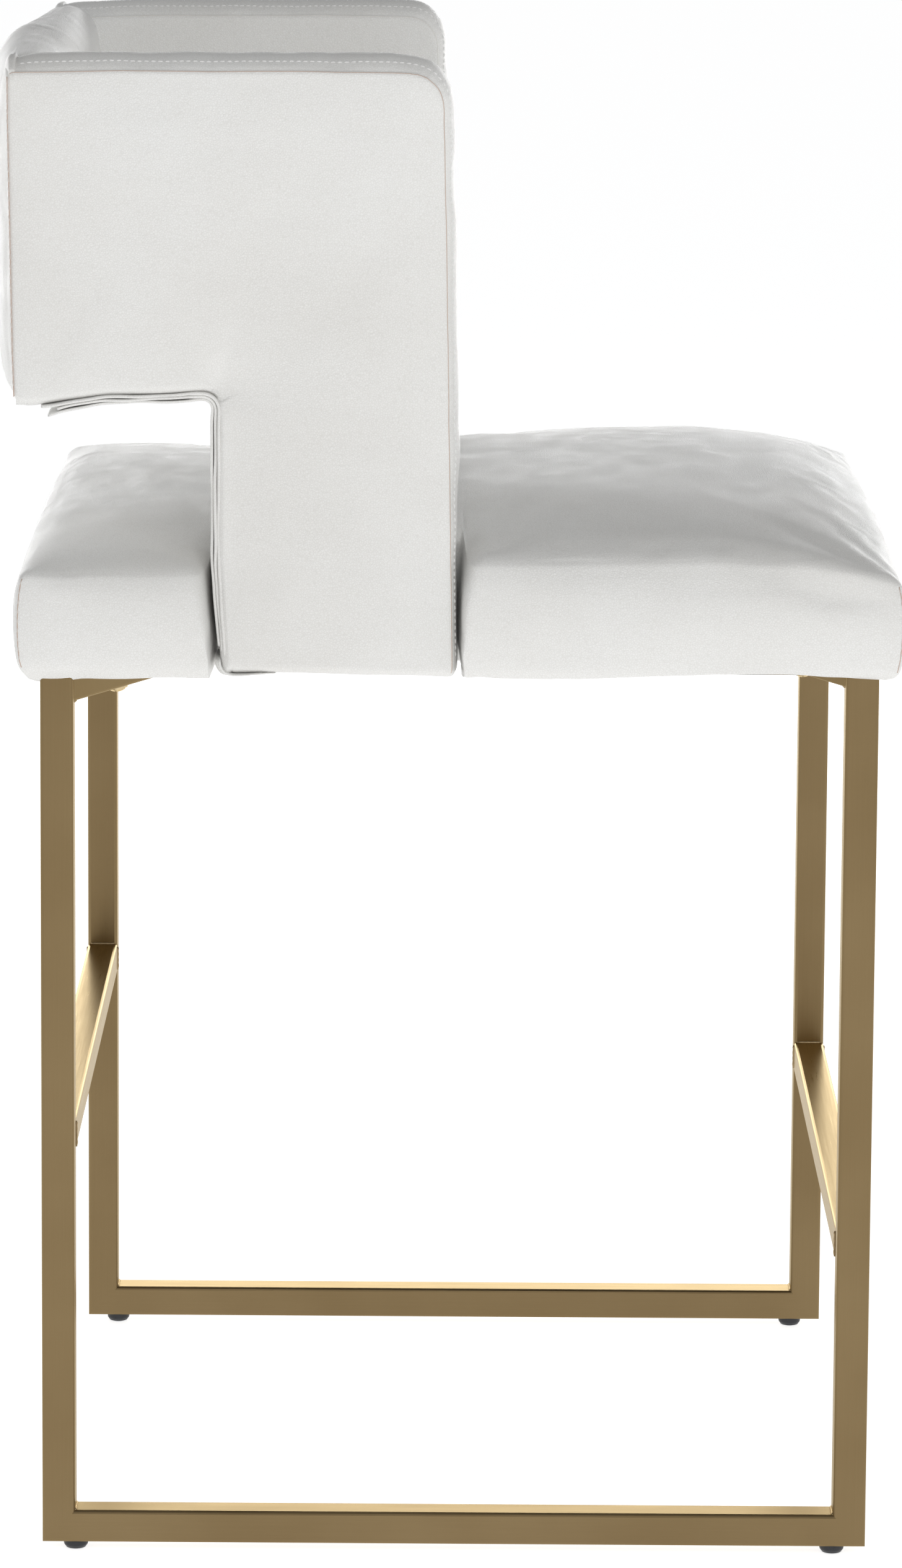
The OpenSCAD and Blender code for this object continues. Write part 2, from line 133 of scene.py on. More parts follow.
def poly_dist(P, loop, closed=True):
    """Distance of the points P from the polyline loop, in 2D, and the nearest vertex index."""
    A = np.asarray(loop, float)
    B = np.roll(A, -1, axis=0) if closed else A[1:]
    if not closed:
        A = A[:-1]
    best = np.full(len(P), 1e9)
    idx = np.zeros(len(P), int)
    d = B - A
    L2 = (d ** 2).sum(1) + 1e-12
    for k in range(len(A)):
        t = np.clip(((P - A[k]) @ d[k]) / L2[k], 0, 1)
        q = np.hypot(*(P - A[k] - t[:, None] * d[k]).T)
        m = q < best
        best[m] = q[m]
        idx[m] = k
    return best, idx


def lines(spans, step, edge):
    """Grid lines over consecutive spans, closer together near each break."""
    out = []
    for a, b in zip(spans[:-1], spans[1:]):
        L = b - a
        e = [x for x in edge if x < L * 0.42]
        inner0, inner1 = a + e[-1], b - e[-1]
        n = max(1, int(round((inner1 - inner0) / step)))
        out += [a + x for x in e] + list(np.linspace(inner0, inner1, n + 1)[1:-1]) + [b - x for x in reversed(e)]
    res = []
    for v in sorted(out):
        if not res or v - res[-1] > 1e-6:
            res.append(v)
    return np.array(res)


EDGE = [0, 0.7, 1.5, 2.6, 4.2, 6.6, 10, 15]


def puff(ob, pin, pressure, cap, voxel=0.006, frames=14, share=1.0, seed=0, tension=15, shrink=0.0):
    """Inflates a remeshed copy of ob as cloth, and gives ob the copy's movement, never more than cap metres.
    pin(P_mm) returns how firmly each point is held by a seam, 0 to 1."""
    me = ob.data.copy()
    c = bpy.data.objects.new("sim_copy", me)
    SC.collection.objects.link(c)
    m = c.modifiers.new("remesh", "REMESH")
    m.mode = "VOXEL"
    m.voxel_size = voxel
    apply_mods(c)
    V0 = get_v(c)
    w = pin(mm_of(V0))
    vg = c.vertex_groups.new(name="pin")
    for lev in (0.25, 0.5, 0.75, 1.0):
        ids = np.nonzero(np.abs(np.round(w * 4) / 4 - lev) < 0.01)[0].tolist()
        if ids:
            vg.add(ids, lev, "REPLACE")
    cl = c.modifiers.new("cloth", "CLOTH")
    s = cl.settings
    s.quality = 5
    s.mass = 0.3
    s.tension_stiffness = s.compression_stiffness = tension
    s.shear_stiffness = 8
    s.bending_stiffness = 1.2
    s.use_pressure = True
    s.uniform_pressure_force = pressure
    s.effector_weights.gravity = 0
    s.vertex_group_mass = "pin"
    s.shrink_min = shrink
    cl.collision_settings.use_collision = False
    cl.collision_settings.use_self_collision = False
    cl.point_cache.frame_start, cl.point_cache.frame_end = 1, frames
    for f in range(1, frames + 1):
        SC.frame_set(f)
    apply_mods(c)
    D = get_v(c) - V0
    SC.frame_set(1)
    L = np.linalg.norm(D, axis=1)
    k = np.where(L > 1e-9, np.minimum(1, cap * np.tanh(L / cap) / np.maximum(L, 1e-9)), 0)
    D = np.nan_to_num(D * k[:, None]) * share
    kd = KDTree(len(V0))
    for i, p in enumerate(V0):
        kd.insert(p, i)
    kd.balance()
    V = get_v(ob)
    out = np.zeros_like(V)
    for i, p in enumerate(V):
        ws, acc = 0.0, np.zeros(3)
        for _, j, dist in kd.find_n(p, 5):
            q = 1.0 / (dist * dist + 4e-6)
            ws += q
            acc += q * D[j]
        out[i] = acc / ws
    set_v(ob, V + out)
    bpy.data.objects.remove(c, do_unlink=True)


def relax(ob, mask_fn, times=2, amt=0.5):
    """A little smoothing where mask_fn(P_mm) is high."""
    me = ob.data
    E = np.empty(len(me.edges) * 2, int)
    me.edges.foreach_get("vertices", E)
    E = E.reshape(-1, 2)
    V = get_v(ob)
    w = mask_fn(mm_of(V))[:, None] * amt
    for _ in range(times):
        acc = np.zeros_like(V)
        cnt = np.zeros(len(V))
        np.add.at(acc, E[:, 0], V[E[:, 1]])
        np.add.at(acc, E[:, 1], V[E[:, 0]])
        np.add.at(cnt, E[:, 0], 1)
        np.add.at(cnt, E[:, 1], 1)
        V = V + w * (acc / np.maximum(cnt, 1)[:, None] - V)
    set_v(ob, V)


def tree_of(ob):
    me = ob.data
    return BVHTree.FromPolygons([v.co.copy() for v in me.vertices], [tuple(p.vertices) for p in me.polygons])


def resample(P, step):
    P = np.asarray(P, float)
    L = np.concatenate([[0], np.cumsum(np.linalg.norm(np.diff(P, axis=0), axis=1))])
    n = max(2, int(round(L[-1] / step)) + 1)
    t = np.linspace(0, L[-1], n)
    return np.stack([np.interp(t, L, P[:, k]) for k in range(3)], 1)


def on_surface(tree, P_mm, lift=0.0):
    """Points and normals on a piece's surface nearest to the given design points."""
    Q, N = [], []
    for p in to_m(np.array(P_mm, float)):
        loc, nor, _, _ = tree.find_nearest(Vector(p))
        Q.append(np.array(loc) + np.array(nor) * lift / 1000.0)
        N.append(np.array(nor))
    return np.array(Q), np.array(N)


def smooth_rows(A, n=2):
    A = np.array(A, float)
    for _ in range(n):
        B = A.copy()
        B[1:-1] = 0.25 * A[:-2] + 0.5 * A[1:-1] + 0.25 * A[2:]
        A = B
    return A


def stitches(name, Q, N, length, pitch, r, sink=0.25, tilt=0.0):
    """Raised thread stitches along a path on a surface. Q and N are metres."""
    L = np.concatenate([[0], np.cumsum(np.linalg.norm(np.diff(Q, axis=0), axis=1))])
    V, F = [], []
    at = pitch * 0.5
    rings = [(-0.5, 0.25), (-0.42, 0.75), (-0.2, 1.0), (0.2, 1.0), (0.42, 0.75), (0.5, 0.25)]
    k = 0
    rs = np.random.RandomState(5)
    while at < L[-1] - pitch * 0.5:
        p = np.array([np.interp(at, L, Q[:, c]) for c in range(3)])
        p2 = np.array([np.interp(at + pitch * 0.2, L, Q[:, c]) for c in range(3)])
        n = np.array([np.interp(at, L, N[:, c]) for c in range(3)])
        n /= np.linalg.norm(n)
        t = p2 - p
        t -= n * (t @ n)
        t /= np.linalg.norm(t)
        b = np.cross(n, t)
        a = tilt + rs.uniform(-0.06, 0.06)
        t, b = t * math.cos(a) + b * math.sin(a), b * math.cos(a) - t * math.sin(a)
        base = len(V)
        for u, s in rings:
            bend = -0.9 * r * (2 * abs(u)) ** 2
            for j in range(7):
                ang = 2 * math.pi * j / 7
                V.append(p + t * u * length + b * math.cos(ang) * r * s * 1.1 + n * (math.sin(ang) * r * s + bend + r * (1 - sink * 2)))
        for i in range(len(rings) - 1):
            for j in range(7):
                F.append((base + i * 7 + j, base + i * 7 + (j + 1) % 7, base + (i + 1) * 7 + (j + 1) % 7, base + (i + 1) * 7 + j))
        F.append(tuple(base + j for j in range(7))[::-1])
        F.append(tuple(base + (len(rings) - 1) * 7 + j for j in range(7)))
        at += pitch * rs.uniform(0.97, 1.03)
        k += 1
    return new_obj(name, V, F, mm=False)


def sweep(name, Q, N, section, closed_ends=True, seg_scale=None):
    """Sweeps a closed section, given as (side, up) pairs in mm, along a path with normals. Q in metres."""
    V, F = [], []
    m = len(section)
    n = len(Q)
    for i in range(n):
        t = Q[min(i + 1, n - 1)] - Q[max(i - 1, 0)]
        t /= np.linalg.norm(t)
        nn = N[i] - t * (N[i] @ t)
        nn /= np.linalg.norm(nn)
        b = np.cross(nn, t)
        k = seg_scale[i] if seg_scale is not None else 1.0
        for a, u in section:
            V.append(Q[i] + b * a * k / 1000 + nn * u * k / 1000)
    for i in range(n - 1):
        for j in range(m):
            F.append((i * m + j, i * m + (j + 1) % m, (i + 1) * m + (j + 1) % m, (i + 1) * m + j))
    if closed_ends:
        F.append(tuple(range(m))[::-1])
        F.append(tuple((n - 1) * m + j for j in range(m)))
    return new_obj(name, V, F, mm=False)


def circle(r, n=8, cy=0.0, sx=1.0):
    return [(math.cos(2 * math.pi * i / n) * r * sx, cy + math.sin(2 * math.pi * i / n) * r) for i in range(n)]


# ------------------------------------------------------------------ materials
def nodes_of(name):
    m = bpy.data.materials.new(name)
    m.use_nodes = True
    nt = m.node_tree
    bs = nt.nodes["Principled BSDF"]
    tc = nt.nodes.new("ShaderNodeTexCoord")
    return m, nt, bs, tc


def nd(nt, kind, **kw):
    n = nt.nodes.new(kind)
    for k, v in kw.items():
        setattr(n, k, v)
    return n


def noise_n(nt, vec, scale, detail=3.0, rough=0.5, dist=0.0):
    n = nd(nt, "ShaderNodeTexNoise")
    n.inputs["Scale"].default_value = scale
    n.inputs["Detail"].default_value = detail
    n.inputs["Roughness"].default_value = rough
    n.inputs["Distortion"].default_value = dist
    nt.links.new(vec, n.inputs["Vector"])
    return n


def ramp(nt, fac, stops):
    r = nd(nt, "ShaderNodeValToRGB")
    while len(r.color_ramp.elements) < len(stops):
        r.color_ramp.elements.new(0.5)
    for e, (p, c) in zip(r.color_ramp.elements, stops):
        e.position = p
        e.color = (*c, 1) if len(c) == 3 else c
    nt.links.new(fac, r.inputs["Fac"])
    return r


def rng(nt, fac, lo, hi, a=0.0, b=1.0):
    r = nd(nt, "ShaderNodeMapRange")
    r.inputs["From Min"].default_value = a
    r.inputs["From Max"].default_value = b
    r.inputs["To Min"].default_value = lo
    r.inputs["To Max"].default_value = hi
    nt.links.new(fac, r.inputs["Value"])
    return r


def bump(nt, height, strength, dist, prev=None):
    b = nd(nt, "ShaderNodeBump")
    b.inputs["Strength"].default_value = strength
    b.inputs["Distance"].default_value = dist
    nt.links.new(height, b.inputs["Height"])
    if prev is not None:
        nt.links.new(prev.outputs["Normal"], b.inputs["Normal"])
    return b


def leather():
    """White faux leather: a fine pebble grain with painted shade in its valleys, faint creases and a soft sheen."""
    m, nt, bs, tc = nodes_of("white_faux_leather")
    v = tc.outputs["Object"]
    warp = noise_n(nt, v, 160, 2)
    mix = nd(nt, "ShaderNodeVectorMath", operation="MULTIPLY_ADD")
    nt.links.new(warp.outputs["Color"], mix.inputs[0])
    mix.inputs[1].default_value = (0.0012, 0.0012, 0.0012)
    nt.links.new(v, mix.inputs[2])
    vo = nd(nt, "ShaderNodeTexVoronoi", feature="DISTANCE_TO_EDGE")
    vo.inputs["Scale"].default_value = 720
    nt.links.new(mix.outputs[0], vo.inputs["Vector"])
    vo_h = rng(nt, vo.outputs["Distance"], 0, 1, 0.0, 0.28)
    vo2 = nd(nt, "ShaderNodeTexVoronoi", feature="DISTANCE_TO_EDGE")
    vo2.inputs["Scale"].default_value = 330
    nt.links.new(mix.outputs[0], vo2.inputs["Vector"])
    vo2_h = rng(nt, vo2.outputs["Distance"], 0, 1, 0.0, 0.16)
    fine = noise_n(nt, v, 1900, 3, 0.6)
    big = noise_n(nt, v, 7, 3, 0.55)
    mid = noise_n(nt, v, 60, 4, 0.6)
    col = ramp(nt, big.outputs["Fac"], [(0.30, (0.765, 0.757, 0.735)), (0.55, (0.800, 0.796, 0.778)), (0.75, (0.815, 0.815, 0.802))])
    mixc = nd(nt, "ShaderNodeMix", data_type="RGBA", blend_type="MULTIPLY")
    mixc.inputs[0].default_value = 1.0
    # painted shade: the base colour is darkened to about 0.9 along the edges of the grain's cells, where the bump sinks
    # into valleys
    grain_valley_painted_shade = ramp(nt, vo_h.outputs[0], [(0.0, (0.905, 0.90, 0.89)), (0.6, (1, 1, 1))])
    nt.links.new(col.outputs["Color"], mixc.inputs[6])
    nt.links.new(grain_valley_painted_shade.outputs["Color"], mixc.inputs[7])
    nt.links.new(mixc.outputs[2], bs.inputs["Base Color"])
    ro = rng(nt, mid.outputs["Fac"], 0.40, 0.54, 0.3, 0.7)
    nt.links.new(ro.outputs[0], bs.inputs["Roughness"])
    bs.inputs["Specular IOR Level"].default_value = 0.34
    bs.inputs["Sheen Weight"].default_value = 0.06
    bs.inputs["Sheen Roughness"].default_value = 0.4
    b1 = bump(nt, mid.outputs["Fac"], 0.10, 0.0012)
    b2 = bump(nt, vo2_h.outputs[0], 0.16, 0.0003, b1)
    b3 = bump(nt, vo_h.outputs[0], 0.34, 0.00022, b2)
    b4 = bump(nt, fine.outputs["Fac"], 0.12, 0.0002, b3)
    nt.links.new(b4.outputs["Normal"], bs.inputs["Normal"])
    return m


def leather_edge():
    """The cut and folded edge of the same cover, with its pale backing cloth showing a little."""
    m, nt, bs, tc = nodes_of("folded_cover_edge")
    v = tc.outputs["Object"]
    big = noise_n(nt, v, 35, 3)
    fine = noise_n(nt, v, 900, 3)
    col = ramp(nt, big.outputs["Fac"], [(0.3, (0.71, 0.685, 0.645)), (0.7, (0.79, 0.775, 0.745))])
    nt.links.new(col.outputs["Color"], bs.inputs["Base Color"])
    ro = rng(nt, fine.outputs["Fac"], 0.5, 0.68)
    nt.links.new(ro.outputs[0], bs.inputs["Roughness"])
    b = bump(nt, fine.outputs["Fac"], 0.25, 0.0003)
    nt.links.new(b.outputs["Normal"], bs.inputs["Normal"])
    return m


def thread(name, c0, c1, rough=0.55):
    m, nt, bs, tc = nodes_of(name)
    v = tc.outputs["Object"]
    wv = nd(nt, "ShaderNodeTexWave", wave_type="BANDS", bands_direction="DIAGONAL")
    wv.inputs["Scale"].default_value = 900
    nt.links.new(v, wv.inputs["Vector"])
    col = ramp(nt, wv.outputs["Fac"], [(0.2, c0), (0.8, c1)])
    nt.links.new(col.outputs["Color"], bs.inputs["Base Color"])
    bs.inputs["Roughness"].default_value = rough
    b = bump(nt, wv.outputs["Fac"], 0.4, 0.0002)
    nt.links.new(b.outputs["Normal"], bs.inputs["Normal"])
    return m


def gold(name, c0, c1, r0, r1, streak=(1, 1, 1)):
    """Satin champagne-gold metal: fine brushed streaks, soft cloudy tone, faint wear."""
    m, nt, bs, tc = nodes_of(name)
    v = tc.outputs["Object"]
    mp = nd(nt, "ShaderNodeMapping")
    mp.inputs["Scale"].default_value = streak
    nt.links.new(v, mp.inputs["Vector"])
    br = noise_n(nt, mp.outputs["Vector"], 900, 4, 0.65)
    cl = noise_n(nt, v, 9, 3, 0.5)
    sp = noise_n(nt, v, 420, 2, 0.5)
    col = ramp(nt, cl.outputs["Fac"], [(0.3, c0), (0.72, c1)])
    mixc = nd(nt, "ShaderNodeMix", data_type="RGBA", blend_type="MULTIPLY")
    mixc.inputs[0].default_value = 1.0
    sh = ramp(nt, br.outputs["Fac"], [(0.25, (0.93, 0.93, 0.92)), (0.75, (1.0, 1.0, 1.0))])
    nt.links.new(col.outputs["Color"], mixc.inputs[6])
    nt.links.new(sh.outputs["Color"], mixc.inputs[7])
    nt.links.new(mixc.outputs[2], bs.inputs["Base Color"])
    bs.inputs["Metallic"].default_value = 1.0
    bs.inputs["Specular Tint"].default_value = (1.0, 0.90, 0.70, 1)
    ro = rng(nt, br.outputs["Fac"], r0, r1, 0.3, 0.7)
    nt.links.new(ro.outputs[0], bs.inputs["Roughness"])
    b1 = bump(nt, br.outputs["Fac"], 0.05, 0.0002)
    b2 = bump(nt, sp.outputs["Fac"], 0.05, 0.0003, b1)
    nt.links.new(b2.outputs["Normal"], bs.inputs["Normal"])
    return m


def plain(name, stops, scale, r0, r1, metallic=0.0, bump_s=0.15, squash=(1, 1, 1)):
    m, nt, bs, tc = nodes_of(name)
    mp = nd(nt, "ShaderNodeMapping")
    mp.inputs["Scale"].default_value = squash
    nt.links.new(tc.outputs["Object"], mp.inputs["Vector"])
    n = noise_n(nt, mp.outputs["Vector"], scale, 4, 0.6)
    col = ramp(nt, n.outputs["Fac"], stops)
    nt.links.new(col.outputs["Color"], bs.inputs["Base Color"])
    bs.inputs["Metallic"].default_value = metallic
    ro = rng(nt, n.outputs["Fac"], r0, r1, 0.3, 0.7)
    nt.links.new(ro.outputs[0], bs.inputs["Roughness"])
    b = bump(nt, n.outputs["Fac"], bump_s, 0.0004)
    nt.links.new(b.outputs["Normal"], bs.inputs["Normal"])
    return m


def dust_cloth():
    m, nt, bs, tc = nodes_of("black_dust_cloth")
    v = tc.outputs["Object"]
    fib = noise_n(nt, v, 700, 5, 0.7, 1.5)
    dots = nd(nt, "ShaderNodeTexVoronoi")
    dots.inputs["Scale"].default_value = 450
    dots.inputs["Randomness"].default_value = 0.15
    nt.links.new(v, dots.inputs["Vector"])
    col = ramp(nt, fib.outputs["Fac"], [(0.3, (0.018, 0.018, 0.02)), (0.7, (0.05, 0.05, 0.054))])
    nt.links.new(col.outputs["Color"], bs.inputs["Base Color"])
    bs.inputs["Roughness"].default_value = 0.9
    b1 = bump(nt, fib.outputs["Fac"], 0.3, 0.0004)
    b2 = bump(nt, dots.outputs["Distance"], 0.3, 0.0003, b1)
    nt.links.new(b2.outputs["Normal"], bs.inputs["Normal"])
    return m


GC0, GC1 = (0.215, 0.151, 0.074), (0.250, 0.180, 0.092)
M_WHITE = leather()
M_EDGE = leather_edge()
M_THREAD = thread("white_thread", (0.76, 0.755, 0.74), (0.86, 0.86, 0.85))
M_SEAM = thread("seam_thread", (0.50, 0.385, 0.325), (0.60, 0.475, 0.405), 0.7)
M_DASH = thread("corner_thread", (0.58, 0.53, 0.49), (0.68, 0.63, 0.59), 0.6)
M_GOLD_Z = gold("satin_gold_upright", GC0, GC1, 0.30, 0.38, (1, 1, 0.02))
M_GOLD_Y = gold("satin_gold_rail", GC0, GC1, 0.30, 0.38, (1, 0.02, 1))
M_GOLD_X = gold("satin_gold_footrest", GC0, GC1, 0.27, 0.34, (0.02, 1, 1))
M_GOLD = gold("satin_gold_brace", GC0, GC1, 0.32, 0.40)
M_WELD = gold("satin_gold_weld", (0.38, 0.285, 0.165), (0.44, 0.335, 0.20), 0.40, 0.5)
M_BOLT = gold("bright_gold_bolt", (0.60, 0.47, 0.27), (0.68, 0.54, 0.33), 0.24, 0.32)
M_ZINC = plain("zinc_steel", [(0.3, (0.50, 0.51, 0.52)), (0.7, (0.62, 0.63, 0.64))], 60, 0.28, 0.42, 1.0, 0.05)
M_BLACK = plain("glide_plastic", [(0.3, (0.012, 0.013, 0.016)), (0.7, (0.024, 0.026, 0.030))], 300, 0.38, 0.52, 0.0, 0.10)
M_PLY = plain("birch_plywood", [(0.3, (0.48, 0.33, 0.19)), (0.7, (0.66, 0.50, 0.32))], 40, 0.6, 0.75, 0.0, 0.2, (1, 1, 12))
M_FOAM = plain("seat_foam", [(0.3, (0.78, 0.70, 0.42)), (0.7, (0.86, 0.79, 0.52))], 500, 0.85, 0.95, 0.0, 0.4)
M_DUST = dust_cloth()


def set_mat(ob, mat):
    ob.data.materials.clear()
    ob.data.materials.append(mat)


for name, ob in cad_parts.items():
    if name.endswith("_leg") or name == "leg_top_plates":
        mat = M_GOLD_Z
    elif name.endswith("floor_rail"):
        mat = M_GOLD_Y
    elif name.endswith("footrest"):
        mat = M_GOLD_X
    elif name.endswith("brace") or name == "centre_spine":
        mat = M_GOLD
    elif name in ("seat_bolts", "seat_washers"):
        mat = M_BOLT
    elif name == "glides":
        mat = M_BLACK
    elif name == "dust_cover":
        mat = M_DUST
    elif "board" in name:
        mat = M_PLY
    elif "foam" in name:
        mat = M_FOAM
    elif "cover" in name or "trim" in name:
        mat = M_WHITE
    else:
        mat = M_ZINC
    if ob.material_slots:
        for s in ob.material_slots:
            s.material = mat


# ------------------------------------------------------------------ arms
YF, YP, YR = 8.0, 143.0, 269.0      # nominal front seam, post rear edge, rear corner seam
ZB, ZW, ZT = 547.0, 716.0, 909.0    # nominal post bottom, wing underside, top seam
S_OUT, S_IN = 255.0, 208.5          # the seams' distances from the middle of the stool

F_TAB = [(545, 4), (652, 6), (804, 9), (842, 10), (875, 10.8), (909, 11.3)]
R_TAB = [(700, 266.5), (712, 267), (742, 268), (803, 269), (878, 270.3), (909, 270.5)]
P_TAB = [(540, 138), (560, 140), (614, 143), (690, 143), (720, 143.5)]
W_TAB = [(140, 717.2), (158, 717.4), (181, 716.2), (215, 715.3), (228, 713.4), (251, 710), (259, 708.8), (270, 708)]
B_TAB = [(0, 546), (60, 546.8), (95, 548), (141, 547.6)]
T_TAB = [(0, 908.5), (40, 909.2), (90, 909.8), (150, 909.2), (200, 909.6), (240, 908.4), (270, 908)]


def corner(Y, Z, y0, z0, dy, dz, R):
    u = 1 - (Y - y0) * dy / R
    v = 1 - (Z - z0) * dz / R
    m = (u > 0) & (v > 0)
    u1, v1 = u[m] * np.sqrt(1 - v[m] ** 2 / 2), v[m] * np.sqrt(1 - u[m] ** 2 / 2)
    Y, Z = Y.copy(), Z.copy()
    Y[m] = y0 + dy * (1 - u1) * R
    Z[m] = z0 + dz * (1 - v1) * R
    return Y, Z


def arm_map(Y, Z, dfront, dtop):
    """Nominal to real outline: rounded corners, the filleted notch, and the hand-made edges that aren't quite straight."""
    Y, Z = np.array(Y, float), np.array(Z, float)
    Rf = 11.0
    # fillet in the notch
    th = np.full(len(Y), 135.0)
    dist = np.zeros(len(Y))
    a = np.zeros(len(Y))
    m1 = (Y >= YP) & (Z >= ZW)
    m2 = (Y < YP) & (Z < ZW)
    m3 = (Y < YP) & (Z >= ZW)
    a[m1], dist[m1] = Y[m1] - YP, Z[m1] - ZW
    a[m2], dist[m2] = -(ZW - Z[m2]), YP - Y[m2]
    dist[m3] = np.hypot(YP - Y[m3], Z[m3] - ZW)
    th = 135 - 45 * a / Rf
    inr = np.abs(a) < Rf
    ny = YP + Rf + Rf * np.cos(np.radians(th))
    nz = ZW - Rf + Rf * np.sin(np.radians(th))
    by = np.where(a >= 0, YP + a, YP)
    bz = np.where(a >= 0, ZW, ZW + a)
    k = np.where(inr, np.exp(-dist / 13.0), 0)
    DY, DZ = (ny - by) * k, (nz - bz) * k
    Y, Z = corner(Y, Z, YF, ZT, 1, -1, 21.0)
    Y, Z = corner(Y, Z, YR, ZT, -1, -1, 4.0)
    Y, Z = corner(Y, Z, YR, ZW, -1, 1, 9.0)
    Y, Z = corner(Y, Z, YF, ZB, 1, 1, 3.0)
    Y, Z = corner(Y, Z, YP, ZB, -1, 1, 4.0)
    Y, Z = Y + DY, Z + DZ
    # real edges
    yf, yp, yr = tab(Z, F_TAB) + dfront, tab(Z, P_TAB), tab(Z, R_TAB)
    y = np.where(Y < YP, yf + (Y - YF) / (YP - YF) * (yp - yf), yp + (Y - YP) / (YR - YP) * (yr - yp))
    zb, zw, zt = tab(Y, B_TAB), tab(Y, W_TAB), tab(Y, T_TAB) + tab(Y, dtop)
    z = np.where(Z < ZW, zb + (Z - ZB) / (ZW - ZB) * (zw - zb), zw + (Z - ZW) / (ZT - ZW) * (zt - zw))
    return y, z


ARM = {}


